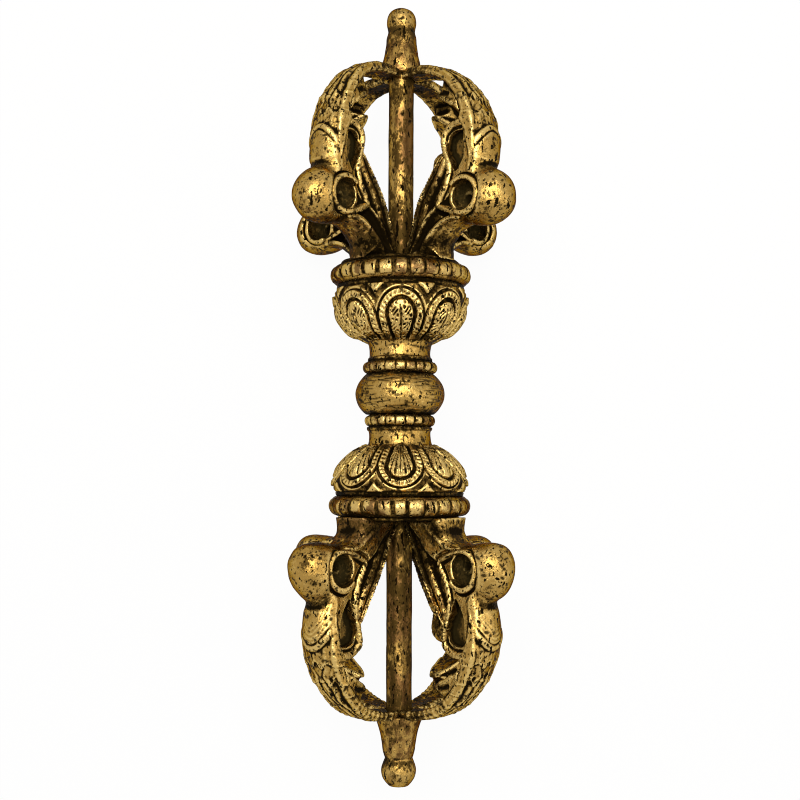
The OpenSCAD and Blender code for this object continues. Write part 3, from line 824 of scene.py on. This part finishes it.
def node_at(tree, kind, **inputs):
    """A node with its inputs fed by name."""
    node = tree.nodes.new(kind)
    for name, value in inputs.items():
        feed(tree, node.inputs[name.replace("_", " ")], value)
    return node


def math_node(tree, how, *values, kind="ShaderNodeMath"):
    """A sum, product or the like of outputs or plain values."""
    node = tree.nodes.new(kind)
    node.operation = how
    for socket, value in zip(node.inputs, values):
        feed(tree, socket, value)
    return node.outputs[0]


def plus(tree, value, other, share):
    """A value with a share of another one added."""
    return math_node(tree, "ADD", value, math_node(tree, "MULTIPLY", other, share))


def swing(tree, pattern):
    """How far a noise pattern is from its middle."""
    return math_node(tree, "SUBTRACT", pattern, 0.5)


def mark_of(tree, name):
    """A wear mark of the piece that the brass is on."""
    node = tree.nodes.new("ShaderNodeAttribute")
    node.attribute_name = name
    return node.outputs["Fac"]


def ramp(tree, value, low, high):
    """A smooth step of a socket between two numbers."""
    node = node_at(tree, "ShaderNodeMapRange", Value=value, From_Min=low, From_Max=high)
    node.interpolation_type = "SMOOTHSTEP"
    return node.outputs["Result"]


def blend(tree, share, a, b):
    """A mix of two colours, each a socket or a colour."""
    node = tree.nodes.new("ShaderNodeMix")
    node.data_type = "RGBA"
    tree.links.new(share, node.inputs["Factor"])
    for name, value in (("A", a), ("B", b)):
        socket = [s for s in node.inputs if s.name == name and s.type == "RGBA"][0]
        feed(tree, socket, (*value, 1) if isinstance(value, tuple) else value)
    return [s for s in node.outputs if s.type == "RGBA"][0]


def noise(tree, place, scale, detail, roughness=0.5):
    """The value of a noise pattern in the piece's own space."""
    kind = "ShaderNodeTexNoise"
    node = node_at(tree, kind, Vector=place, Scale=scale, Detail=detail, Roughness=roughness)
    return node.outputs["Fac"]


def aged_brass(name, bright, worn, brown, copper, copper_share, dark_share, pit_share, satin, stretch):
    """Cast brass: bright where hands rub it, brown and black in its hollows and under painted shade, pitted
    all over.
    """
    material = bpy.data.materials.new(name)
    material.use_nodes = True
    tree = material.node_tree
    tree.nodes.clear()
    own_space = tree.nodes.new("ShaderNodeTexCoord").outputs["Object"]
    place = math_node(tree, "MULTIPLY", own_space, (1 / stretch, 1, 1), kind="ShaderNodeVectorMath")
    hollow, raised, pitted, stained, dust_and_shade_mark = (
        mark_of(tree, mark) for mark in ("hollow", "raised", "pit", "stain", "dust_and_shade")
    )

    blotch = noise(tree, place, 170, 5, 0.6)
    speck = noise(tree, place, 700, 6, 0.65)
    mottle = noise(tree, place, 1700, 3, 0.65)
    grain = noise(tree, place, 3200, 3, 0.6)

    # Fine pits, drawn out like file strokes and ragged at their edges
    slant = node_at(
        tree, "ShaderNodeMapping", Vector=place, Rotation=(0.5, 0.7, 0.6), Scale=(0.45, 1.0, 1.0)
    )
    strokes = slant.outputs["Vector"]
    for scale, amount in ((130.0, 0.004), (2200.0, 0.0006)):
        ragged = node_at(tree, "ShaderNodeTexNoise", Vector=place, Scale=scale, Detail=2.0)
        strokes = math_node(
            tree,
            "MULTIPLY_ADD",
            ragged.outputs["Color"],
            (amount, amount, amount),
            strokes,
            kind="ShaderNodeVectorMath",
        )
    layers = []
    for scale in (1050.0, 2100.0):
        cells = node_at(tree, "ShaderNodeTexVoronoi", Vector=strokes, Scale=scale)
        chosen = node_at(tree, "ShaderNodeSeparateColor", Color=cells.outputs["Color"])
        picked = ramp(tree, chosen.outputs["Red"], 1 - pit_share, 1.05 - pit_share)
        wide = math_node(tree, "MULTIPLY", chosen.outputs["Green"], 0.24)
        inside = math_node(tree, "SUBTRACT", math_node(tree, "ADD", wide, 0.12), cells.outputs["Distance"])
        layers.append(math_node(tree, "MULTIPLY", ramp(tree, inside, 0.0, 0.06), picked))
    pit = math_node(tree, "MAXIMUM", *layers)

    # The hollow mark turns the brass brown and black: patina in its crevices, and painted shade where the
    # mark also holds shade; hands keep the raised spots clean
    dirt_and_shade = math_node(tree, "MULTIPLY", hollow, 1.1)
    for pattern, share in ((speck, 2.4), (blotch, 1.6), (mottle, 1.5), (grain, 0.8)):
        dirt_and_shade = plus(tree, dirt_and_shade, swing(tree, pattern), share)
    dirt_and_shade = plus(tree, dirt_and_shade, raised, -0.5)
    brown_and_shade_share = ramp(tree, dirt_and_shade, 0.1 - dark_share, 0.55 - dark_share)
    black_and_shade_share = ramp(tree, dirt_and_shade, 0.62 - 0.5 * dark_share, 1.0 - 0.5 * dark_share)
    black_and_shade_share = math_node(tree, "MAXIMUM", black_and_shade_share, pit)
    black_and_shade_share = math_node(tree, "MAXIMUM", black_and_shade_share, math_node(tree, "MULTIPLY", pitted, 0.92))

    rubbed = math_node(tree, "ADD", raised, math_node(tree, "SUBTRACT", mottle, blotch))
    tone = blend(tree, ramp(tree, rubbed, -0.05, 0.65), worn, bright)
    patch = ramp(tree, noise(tree, place, 110, 4, 0.55), 0.72 - copper_share, 0.8 - copper_share)
    ragged_stain = plus(tree, stained, swing(tree, speck), 2.5)
    patch = math_node(tree, "MAXIMUM", patch, ramp(tree, ragged_stain, 0.35, 0.75))
    tone = blend(tree, math_node(tree, "MULTIPLY", patch, 0.85), tone, copper)
    tone = blend(tree, brown_and_shade_share, tone, brown)
    tone = blend(tree, black_and_shade_share, tone, BLACK_DIRT_AND_SHADE)
    # Dust, and the painted shade it stands for in the eye sockets and mouths
    dust_and_shade_cover = math_node(tree, "MULTIPLY", dust_and_shade_mark, math_node(tree, "ADD", 0.4, speck))
    dust_and_shade_cover = math_node(tree, "MINIMUM", dust_and_shade_cover, 1.0)
    tone = blend(tree, dust_and_shade_cover, tone, DUST_AND_SHADE)

    shine = plus(tree, 1.0, brown_and_shade_share, -0.15)
    for cover, share in ((black_and_shade_share, -0.6), (dust_and_shade_cover, -1.0)):
        shine = math_node(tree, "MULTIPLY", shine, plus(tree, 1.0, cover, share))
    matt = math_node(tree, "MAXIMUM", black_and_shade_share, dust_and_shade_cover)
    matt = math_node(tree, "MAXIMUM", matt, math_node(tree, "MULTIPLY", brown_and_shade_share, 0.4))
    rough = plus(tree, satin, brown_and_shade_share, 0.12)
    rough = plus(tree, rough, swing(tree, speck), 0.35)
    rough = plus(tree, rough, matt, 0.3)
    depth = math_node(tree, "MULTIPLY", speck, 0.7)
    for pattern, share in ((mottle, 0.4), (grain, 0.05), (pit, -0.9)):
        depth = plus(tree, depth, pattern, share)
    dent = node_at(tree, "ShaderNodeBump", Strength=1.0, Distance=0.0002, Height=depth)
    shader = node_at(
        tree,
        "ShaderNodeBsdfPrincipled",
        Base_Color=tone,
        Metallic=shine,
        Roughness=rough,
        Specular_IOR_Level=plus(tree, 0.5, matt, -0.46),
        Specular_Tint=EDGE_TINT,
        Normal=dent.outputs["Normal"],
    )
    node_at(tree, "ShaderNodeOutputMaterial", Surface=shader.outputs["BSDF"])
    return material


def finishes():
    """The dorje's brass finishes, made once."""
    tones = bpy.context.scene.dorje_tones
    colours = [tuple(tone) for tone in (tones.bright, tones.worn, tones.brown, tones.copper)]
    made = {}
    for slot, finish in FINISHES.items():
        name = "dorje_" + slot
        made[slot] = bpy.data.materials.get(name) or aged_brass(name, *colours, *finish)
    return made


# Settings


class DorjeSizes(bpy.types.PropertyGroup):
    """Sizes of the dorje's carved and cut detail."""

    prong_cell: bpy.props.FloatProperty(
        name="Prong cell", description="Grid size of the carved prongs", default=0.000179, unit="LENGTH"
    )
    rim_blocks: bpy.props.IntProperty(
        name="Rim blocks", description="Blocks around each rim ring", default=28
    )
    collar_beads: bpy.props.IntProperty(
        name="Collar beads", description="Beads around each collar", default=22
    )
    hand: bpy.props.IntProperty(
        name="Hand", description="Seed of the hand-cut unevenness", default=7
    )


class DorjeTones(bpy.types.PropertyGroup):
    """Colours of the dorje's brass."""

    bright: bpy.props.FloatVectorProperty(
        name="Bright brass", description="Rubbed high spots", default=(0.6, 0.41, 0.135), subtype="COLOR"
    )
    worn: bpy.props.FloatVectorProperty(
        name="Worn brass", description="Most of the surface", default=(0.37, 0.22, 0.053), subtype="COLOR"
    )
    # The brown patina also stands for painted shade on hollow, inward-facing and deep surfaces
    brown: bpy.props.FloatVectorProperty(
        name="Brown patina", description="Sheltered surfaces", default=(0.068, 0.039, 0.009), subtype="COLOR"
    )
    copper: bpy.props.FloatVectorProperty(
        name="Copper stain", description="Reddish patches", default=(0.125, 0.058, 0.02), subtype="COLOR"
    )


# Pieces


class DORJE_OT_prongs(bpy.types.Operator):
    """Carves the eight sea-beast prongs."""

    bl_idname = "dorje.prongs"
    bl_label = "Prongs"

    def execute(self, context):
        sizes = context.scene.dorje_sizes
        brass = finishes()["prong_brass"]
        for name, end in ENDS.items():
            points, faces, marks = carve_prong(sizes.prong_cell / MM, PRONG_CUTS[name])
            stain = marks["stain"]
            hollow = marks["hollow"]
            scoop = marks.pop("scoop")
            for k in PRONGS:
                node = f"{name}_prong_{k}"
                seed = sizes.hand * 100 + 10 * k + end
                shaped = settle_prong(points, *PRONG_SHIFTS[node])
                # Copper stain on each foot and a darker scoop under the snout, both most on the first prong
                foot_stain, scoop_darkening = (1.0, 0.6) if k == 1 else (0.3, 0.2)
                marks["stain"] = np.maximum(stain, foot_stain * step((6 - points[:, 2]) / 4))
                marks["hollow"] = hollow + scoop_darkening * scoop
                # The marks handed back carry wear, stain and painted shade, with the pits
                shaped, worn = cast_skin(shaped, faces, marks, seed, PRONG_PITS)
                turn = math.radians(90 + end * (90 * k - 45) + CROWN_TURNS[name])
                x = shaped[:, 0] * math.cos(turn) - shaped[:, 1] * math.sin(turn)
                y = shaped[:, 0] * math.sin(turn) + shaped[:, 1] * math.cos(turn)
                placed = towards(np.stack([x, y, shaped[:, 2] + PRONG_AT], axis=1), end)
                new_piece("cast_" + node, placed, faces, worn, node, brass)
        return {"FINISHED"}


class DORJE_OT_cups(bpy.types.Operator):
    """Turns the lotus cups and raises their petals."""

    bl_idname = "dorje.cups"
    bl_label = "Lotus cups"

    def execute(self, context):
        brass = finishes()["hub_brass"]
        hand = context.scene.dorje_sizes.hand
        sides = 512
        pits = 520
        closing = np.array([(SPIGOT_R, RIM_AT), (SPIGOT_R, SEAT_AT), (BORE_R, SEAT_AT), (BORE_R, CUP_AT)])
        for name, end in ENDS.items():
            bowl = cup_section(1 if end == 1 else 0)
            lift = petal_relief(bowl, sides, end == -1)
            lift = np.vstack([lift, np.zeros((len(closing), sides))])
            points, faces = turned(np.vstack([bowl, closing]), sides, lift)
            level = points[:, 2]
            marks = relief_marks(lift, 4)
            # Darker in the relief's hollows, on the low ground, and at the joints with the neck and the rim:
            # patina, and painted shade between the parts
            marks["hollow"] = np.minimum(marks["hollow"] + 0.4 * step((0.1 - lift) / 0.12).ravel(), 0.9)
            marks["hollow"] += 0.7 * bump((level - CUP_AT) / 0.7) + 0.7 * bump((level - RIM_AT) / 0.5)
            shown = (np.hypot(points[:, 0], points[:, 1]) > 6.5) & (level < RIM_AT)
            node = f"{name}_lotus_cup"
            points, marks = cast_skin(points, faces, marks, hand + 3 * end, pits, shown)
            new_piece("turned_" + node, towards(points, end), faces, marks, node, brass)
        return {"FINISHED"}


class DORJE_OT_grip(bpy.types.Operator):
    """Turns the grip bulb, the necks and the prong seats."""

    bl_idname = "dorje.grip"
    bl_label = "Grip"

    def execute(self, context):
        brass = finishes()["hub_brass"]
        half = COLLAR_AT
        drop = 1.95
        arc = (drop * drop + half * half) / (2 * drop)
        rise = math.asin(half / arc)
        turns = np.linspace(-rise, rise, 60)
        side = [(BULB_R - arc + arc * math.cos(t), arc * math.sin(t)) for t in turns]
        self.turn("grip_bulb", side + [(BORE_R, half), (BORE_R, -half)], 1, brass)
        waist = smooth_line(
            [(6.25, 0), (6.3, 0.3), (6.2, 0.6), (5.98, 0.85), (5.9, 1.7), (5.95, 2.7), (6.15, 3.4), (6.6, 4)],
            50,
        )
        section = [(a, NECK_AT + b * (CUP_AT - NECK_AT) / 4) for a, b in waist]
        edge = [
            (SEAT_R - 0.3, SEAT_AT), (SEAT_R, SEAT_AT + 0.25), (SEAT_R - 0.05, PRONG_AT - 0.3),
            (SEAT_R - 0.3, PRONG_AT - 0.08), (SEAT_R - 0.8, PRONG_AT),
        ]
        for name, end in ENDS.items():
            self.turn(f"{name}_neck", section + [(BORE_R, CUP_AT), (BORE_R, NECK_AT)], end, brass)
            self.turn(f"{name}_prong_seat", edge + [(BORE_R, PRONG_AT), (BORE_R, SEAT_AT)], end, brass)
        return {"FINISHED"}

    def turn(self, node, section, end, brass):
        """One plain turned piece with slight hand unevenness."""
        sides = 300
        pits = 220
        points, faces = turned(section, sides)
        spin = np.arctan2(points[:, 1], points[:, 0])
        wobble = 1 + 0.006 * np.sin(3 * spin + len(node)) + 0.004 * np.sin(7 * spin)
        outside = np.hypot(points[:, 0], points[:, 1]) > ROD_R + 1
        points[outside, :2] *= wobble[outside, None]
        level = points[:, 2]
        from_end = np.minimum(level - level.min(), level.max() - level)
        # Painted shade at each end, where the piece meets its neighbour
        marks = {"hollow": 0.9 * bump(from_end / 0.5), "raised": np.zeros(len(points))}
        streaks = 110 if node == "grip_bulb" else 8
        points, marks = cast_skin(points, faces, marks, len(node) + 5 * end, pits, outside, streaks)
        new_piece("turned_" + node, towards(points, end), faces, marks, node, brass)


def block_shape(round_r, core_r, half_wide, from_turn, to_turn):
    """A rounded block that wraps part of a ring's edge: its points, faces, and marks of wear and painted
    shade.
    """
    across, around = 13, 15
    points = []
    hollow = []
    raised = []
    for i in range(around):
        a = -1 + 2 * i / (around - 1)
        turn = math.radians(from_turn + (to_turn - from_turn) * (a + 1) / 2)
        for j in range(across):
            u = -1 + 2 * j / (across - 1)
            edge = max(abs(u), abs(a)) ** 7
            height = core_r + (round_r - core_r) * (1 - 0.9 * edge) * (1 - 0.12 * u * u)
            beside = half_wide * u * (1 - 0.05 * abs(a) ** 3)
            points.append((height * math.cos(turn), beside, height * math.sin(turn)))
            # Painted shade towards the block's edges, where it meets its neighbours
            hollow.append(0.85 * edge)
            raised.append(0.55 * max(0.0, 1 - 2.5 * edge))
    front = len(points)
    for i in range(front):
        x, y, z = points[i]
        far = math.hypot(x, z)
        shrink = (core_r * 0.72) / far
        points.append((x * shrink, y * 0.98, z * shrink))
        # The back of the block is in full painted shade
        hollow.append(1.0)
        raised.append(0.0)
    faces = []
    for i in range(around - 1):
        for j in range(across - 1):
            a = i * across + j
            faces.append((a, a + 1, a + across + 1, a + across))
            faces.append((front + a, front + a + across, front + a + across + 1, front + a + 1))
    border = list(range(across))
    border += [i * across + across - 1 for i in range(1, around)]
    border += [(around - 1) * across + j for j in range(across - 2, -1, -1)]
    border += [i * across for i in range(around - 2, 0, -1)]
    for a, b in zip(border, border[1:] + border[:1]):
        faces.append((b, a, front + a, front + b))
    return points, faces, hollow, raised


def ring_tree():
    """Geometry nodes that set blocks around a ring, each a little uneven."""
    tree = bpy.data.node_groups.get("dorje_ring_blocks")
    if tree:
        return tree
    tree = bpy.data.node_groups.new("dorje_ring_blocks", "GeometryNodeTree")
    for name, kind in (
        ("Geometry", "NodeSocketGeometry"),
        ("Block", "NodeSocketObject"),
        ("Count", "NodeSocketInt"),
        ("Radius", "NodeSocketFloat"),
        ("Seed", "NodeSocketInt"),
        ("Material", "NodeSocketMaterial"),
    ):
        tree.interface.new_socket(name, in_out="INPUT", socket_type=kind)
    tree.interface.new_socket("Geometry", in_out="OUTPUT", socket_type="NodeSocketGeometry")
    start = tree.nodes.new("NodeGroupInput")
    finish = tree.nodes.new("NodeGroupOutput")
    link = tree.links.new

    given = start.outputs
    circle = node_at(tree, "GeometryNodeMeshCircle", Vertices=given["Count"], Radius=given["Radius"])
    index = tree.nodes.new("GeometryNodeInputIndex").outputs[0]
    share = math_node(tree, "DIVIDE", index, given["Count"])
    spin = node_at(tree, "ShaderNodeCombineXYZ", Z=math_node(tree, "MULTIPLY", share, 2 * math.pi))
    lean = tree.nodes.new("FunctionNodeRandomValue")
    lean.data_type = "FLOAT"
    limits = {"Min": -0.1, "Max": 0.1}
    for socket in lean.inputs:
        if socket.name in limits and socket.type == "VALUE" and socket.enabled:
            socket.default_value = limits[socket.name]
    link(given["Seed"], lean.inputs["Seed"])
    link([s for s in lean.outputs if s.type == "VALUE" and s.enabled][0], spin.inputs["X"])

    block = node_at(tree, "GeometryNodeObjectInfo", Object=given["Block"], As_Instance=True)
    block.transform_space = "ORIGINAL"
    uneven = tree.nodes.new("FunctionNodeRandomValue")
    uneven.data_type = "FLOAT_VECTOR"
    uneven.inputs["Min"].default_value = (0.97, 0.76, 0.88)
    uneven.inputs["Max"].default_value = (1.015, 1.06, 1.0)
    link(given["Seed"], uneven.inputs["Seed"])
    place = node_at(
        tree,
        "GeometryNodeInstanceOnPoints",
        Points=circle.outputs["Mesh"],
        Instance=block.outputs["Geometry"],
        Rotation=spin.outputs[0],
        Scale=uneven.outputs["Value"],
    )
    join = tree.nodes.new("GeometryNodeJoinGeometry")
    link(given["Geometry"], join.inputs[0])
    link(place.outputs["Instances"], join.inputs[0])
    real = node_at(tree, "GeometryNodeRealizeInstances", Geometry=join.outputs[0])
    paint = node_at(tree, "GeometryNodeSetMaterial", Geometry=real.outputs[0], Material=given["Material"])
    link(paint.outputs[0], finish.inputs[0])
    return tree


class DORJE_OT_rings(bpy.types.Operator):
    """Sets the blocks of the rim rings and the beads of the collars around their cores."""

    bl_idname = "dorje.rings"
    bl_label = "Rings"

    def execute(self, context):
        sizes = context.scene.dorje_sizes
        for name, end in ENDS.items():
            level = (RIM_AT, SEAT_AT)
            bore = SPIGOT_R + FIT_GAP
            self.ring(f"{name}_rim_ring", end, RIM_R, level, bore, sizes.rim_blocks, (-58, 88))
            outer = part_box(f"{name}_collar")[1][1] / MM
            level = (COLLAR_AT, NECK_AT)
            self.ring(f"{name}_collar", end, outer, level, BORE_R, sizes.collar_beads, (-74, 74))
        return {"FINISHED"}

    def ring(self, node, end, outer, level, bore, count, span):
        """One ring: a round core with blocks set on it by the node tree."""
        brass = finishes()["hub_brass"]
        hand = bpy.context.scene.dorje_sizes.hand
        sides = 224
        pits = 160
        low, high = level
        round_r = (high - low) / 2
        middle = outer - round_r
        core_r = round_r - 0.3
        turns = np.radians(np.linspace(-90, 90, 25))
        core = [(middle + core_r * math.cos(t), round_r * math.sin(t)) for t in turns]
        points, faces = turned(core + [(bore, round_r), (bore, -round_r)], sides)
        mesh = bpy.data.meshes.new(node)
        mesh.from_pydata(points * MM, [], faces.tolist())
        # Painted shade on the core where it shows between the blocks
        shade_between_blocks = np.where(points[:, 2] > -0.55 * round_r, 0.75, 0.1)
        put_marks(mesh, {"hollow": shade_between_blocks, "raised": np.zeros(len(points))})
        piece = bpy.data.objects.new("cut_" + node, mesh)
        bpy.context.scene.collection.objects.link(piece)

        half_wide = math.pi * outer / count * 0.99
        shape, block_faces, hollow, raised = block_shape(round_r, core_r, half_wide, *span)
        block_mesh = bpy.data.meshes.new("block_" + node)
        block_mesh.from_pydata(np.array(shape) * MM, [], block_faces)
        put_marks(block_mesh, {"hollow": hollow, "raised": raised})
        block = bpy.data.objects.new("block_" + node, block_mesh)

        tree = ring_tree()
        modifier = piece.modifiers.new("blocks", "NODES")
        modifier.node_group = tree
        ids = {item.name: item.identifier for item in tree.interface.items_tree if item.in_out == "INPUT"}
        modifier[ids["Block"]] = block
        modifier[ids["Count"]] = count
        modifier[ids["Radius"]] = middle * MM
        modifier[ids["Seed"]] = hand + len(node)
        modifier[ids["Material"]] = brass
        graph = bpy.context.evaluated_depsgraph_get()
        made = bpy.data.meshes.new_from_object(piece.evaluated_get(graph))
        piece.modifiers.clear()
        spots = np.empty(len(made.vertices) * 3)
        made.vertices.foreach_get("co", spots)
        spots = spots.reshape(-1, 3) / MM
        corners = np.empty(len(made.loops), int)
        made.loops.foreach_get("vertex_index", corners)
        seed = hand + 7 * len(node) + end
        outside = np.hypot(spots[:, 0], spots[:, 1]) > middle
        spots, worn = cast_skin(spots, corners.reshape(-1, 4), {}, seed, pits, outside, swell=0.6)
        worn["stain"] = 0.7 * np.clip(0.4 + soft_noise(spots, seed, 7), 0, 1)
        put_marks(made, worn)
        spots[:, 2] += (low + high) / 2
        made.vertices.foreach_set("co", (settle_hub(towards(spots, end)) * MM).ravel())
        made.polygons.foreach_set("use_smooth", np.ones(len(made.polygons), bool))
        made.update()
        piece.data = made
        bpy.data.objects.remove(block)
        declare(piece, node)


class DORJE_OT_spindle(bpy.types.Operator):
    """Turns the tie rod and the two finials."""

    bl_idname = "dorje.spindle"
    bl_label = "Rod and finials"

    def execute(self, context):
        made = finishes()
        rod_sides, rod_pits = 96, 260
        cap_sides, cap_pits = 160, 60
        reach = FINIAL_AT - 0.25
        side = even_steps([(ROD_R, -reach), (ROD_R, reach)], 0.2)
        section = [(NEAR_AXIS, -reach)] + [tuple(p) for p in side] + [(NEAR_AXIS, reach)]
        points, faces = turned(section, rod_sides)
        wave = 0.035 * soft_noise(points, 3, 6)
        points[:, :2] *= (1 + wave / ROD_R)[:, None]
        marks = {"hollow": np.zeros(len(points)), "raised": np.zeros(len(points))}
        points, marks = cast_skin(points, faces, marks, 11, rod_pits, swell=0.3)
        brass = made["rod_brass"]
        new_piece("turned_spindle", towards(points, 1), faces, marks, "spindle", brass)
        brass = made["dark_brass"]
        groove_at = 8.6
        for name, end in ENDS.items():
            outside = smooth_line(FINIALS[name], 90)
            section = [(a, FINIAL_AT + b) for a, b in outside] + [(NEAR_AXIS, FINIAL_AT)]
            points, faces = turned(section, cap_sides)
            low = points[:, 2] - FINIAL_AT
            marks = {
                # Darker in the groove: patina there, and painted shade
                "hollow": 0.4 * bump((low - groove_at) / 0.5),
                "raised": 0.25 * step((low - 9.5) / 0.7),
                "stain": 0.55 * step((groove_at - low) / 0.8),
            }
            points, marks = cast_skin(points, faces, marks, 20 + end, cap_pits, swell=0.6)
            node = f"{name}_finial"
            new_piece("turned_" + node, towards(points, end), faces, marks, node, brass)
        return {"FINISHED"}


# Stage

# Each lamp's place in metres, width, height, power in watts and colour
LAMPS = {
    "key": ((0.11, 0.02, 0.4), 0.32, 0.28, 1.7, (1, 0.97, 0.92)),
    "fill": ((-0.06, -0.32, 0.26), 0.2, 0.3, 0.25, (1, 0.96, 0.9)),
}
# The camera's place and aim in metres, its roll in degrees, and its lens and sensor in millimetres
CAMERA_EYE = (-0.018, 0.003, 0.26)
CAMERA_AIM = (-0.0018, 0.0, 0.0)
CAMERA_ROLL = 0.24
LENS = 60.9
SENSOR = 36
WHITE = (1, 1, 1, 1)
# The room's light near the horizon and overhead
ROOM_LOW = (0.34, 0.32, 0.285)
ROOM_HIGH = (0.85, 0.82, 0.755)
ROOM_STRENGTH = 0.6
FLOOR_TONE = (0.8, 0.8, 0.8, 1)
# How much of the floor's look to the camera is plain white; the rest takes the light and the shadow
FLOOR_WHITE = 0.95


def soft_light(name, where, wide, tall, power, colour):
    """A rectangular lamp that shines on the dorje's middle."""
    lamp = bpy.data.lights.new(name, "AREA")
    lamp.shape = "RECTANGLE"
    lamp.size = wide
    lamp.size_y = tall
    lamp.energy = power
    lamp.color = colour
    holder = bpy.data.objects.new(name, lamp)
    holder.location = where
    holder.rotation_euler = (-Vector(where)).to_track_quat("-Z", "Y").to_euler()
    bpy.context.scene.collection.objects.link(holder)


def show_white(tree, straight, plain, white, out):
    """Shows white in reflections and, by a share, to the camera, and a plain look everywhere else."""
    path = tree.nodes.new("ShaderNodeLightPath").outputs
    mirrored = math_node(tree, "MAXIMUM", path["Is Glossy Ray"], path["Is Transmission Ray"])
    seen = math_node(tree, "MULTIPLY", path["Is Camera Ray"], straight)
    mix = tree.nodes.new("ShaderNodeMixShader")
    tree.links.new(math_node(tree, "MAXIMUM", seen, mirrored), mix.inputs[0])
    tree.links.new(plain.outputs[0], mix.inputs[1])
    tree.links.new(white.outputs[0], mix.inputs[2])
    node_at(tree, out, Surface=mix.outputs[0])


class DORJE_OT_stage(bpy.types.Operator):
    """Sets the pale floor, the light, the room and the camera above the dorje."""

    bl_idname = "dorje.stage"
    bl_label = "Stage"

    def execute(self, context):
        scene = context.scene
        self.floor()
        self.room(scene)
        for name, lamp in LAMPS.items():
            soft_light(name, *lamp)
        self.camera(scene)
        scene.view_settings.view_transform = "Standard"
        scene.cycles.filter_width = 1.0
        return {"FINISHED"}

    def floor(self):
        """A wide pale floor under the lowest prongs."""
        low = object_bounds()[0][2]
        reach = 4.0
        mesh = bpy.data.meshes.new("floor")
        corners = [(-reach, -reach, low), (reach, -reach, low), (reach, reach, low), (-reach, reach, low)]
        mesh.from_pydata(corners, [], [(0, 1, 2, 3)])
        floor = bpy.data.objects.new("floor", mesh)
        bpy.context.scene.collection.objects.link(floor)
        floor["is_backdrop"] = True
        material = bpy.data.materials.new("white_floor")
        material.use_nodes = True
        tree = material.node_tree
        tree.nodes.clear()
        matt = node_at(tree, "ShaderNodeBsdfDiffuse", Color=FLOOR_TONE)
        glow = node_at(tree, "ShaderNodeEmission", Color=WHITE, Strength=1.0)
        show_white(tree, FLOOR_WHITE, matt, glow, "ShaderNodeOutputMaterial")
        mesh.materials.append(material)

    def room(self, scene):
        """A room that is lighter overhead, and white to the camera and in reflections."""
        world = bpy.data.worlds.new("room")
        world.use_nodes = True
        scene.world = world
        tree = world.node_tree
        tree.nodes.clear()
        way = tree.nodes.new("ShaderNodeTexCoord").outputs["Generated"]
        split = node_at(tree, "ShaderNodeSeparateXYZ", Vector=way)
        overhead = ramp(tree, split.outputs["Z"], 0.1, 0.8)
        tone = blend(tree, overhead, ROOM_LOW, ROOM_HIGH)
        light = node_at(tree, "ShaderNodeBackground", Color=tone, Strength=ROOM_STRENGTH)
        white = node_at(tree, "ShaderNodeBackground", Color=WHITE, Strength=1.0)
        show_white(tree, 1.0, light, white, "ShaderNodeOutputWorld")

    def camera(self, scene):
        """A camera above the dorje whose picture has +X at its top."""
        lens = bpy.data.cameras.new("camera")
        lens.sensor_width = SENSOR
        lens.lens = LENS
        lens.clip_start = 0.01
        holder = bpy.data.objects.new("camera", lens)
        eye = Vector(CAMERA_EYE)
        back = (eye - Vector(CAMERA_AIM)).normalized()
        up = Vector((1, 0, 0))
        right = up.cross(back).normalized()
        up = back.cross(right)
        turn = Matrix((right, up, back)).transposed().to_4x4()
        roll = Matrix.Rotation(math.radians(CAMERA_ROLL), 4, "Z")
        holder.matrix_world = Matrix.Translation(eye) @ turn @ roll
        scene.collection.objects.link(holder)
        scene.camera = holder


class DORJE_PT_panel(bpy.types.Panel):
    """The dorje's pieces and settings."""

    bl_label = "Dorje"
    bl_idname = "DORJE_PT_panel"
    bl_space_type = "VIEW_3D"
    bl_region_type = "UI"
    bl_category = "Dorje"

    def draw(self, context):
        for group in (context.scene.dorje_sizes, context.scene.dorje_tones):
            for name in group.__annotations__:
                self.layout.prop(group, name)
        for operator in OPERATORS:
            self.layout.operator(operator.bl_idname)


OPERATORS = (
    DORJE_OT_spindle,
    DORJE_OT_grip,
    DORJE_OT_rings,
    DORJE_OT_cups,
    DORJE_OT_prongs,
    DORJE_OT_stage,
)
CLASSES = (DorjeSizes, DorjeTones, *OPERATORS, DORJE_PT_panel)


def register():
    for part in CLASSES:
        bpy.utils.register_class(part)
    bpy.types.Scene.dorje_sizes = bpy.props.PointerProperty(type=DorjeSizes)
    bpy.types.Scene.dorje_tones = bpy.props.PointerProperty(type=DorjeTones)


def unregister():
    del bpy.types.Scene.dorje_tones
    del bpy.types.Scene.dorje_sizes
    for part in reversed(CLASSES):
        bpy.utils.unregister_class(part)


def main():
    register()
    bpy.ops.dorje.spindle()
    bpy.ops.dorje.grip()
    bpy.ops.dorje.rings()
    bpy.ops.dorje.cups()
    bpy.ops.dorje.prongs()
    bpy.ops.dorje.stage()


if __name__ == "__main__":
    main()
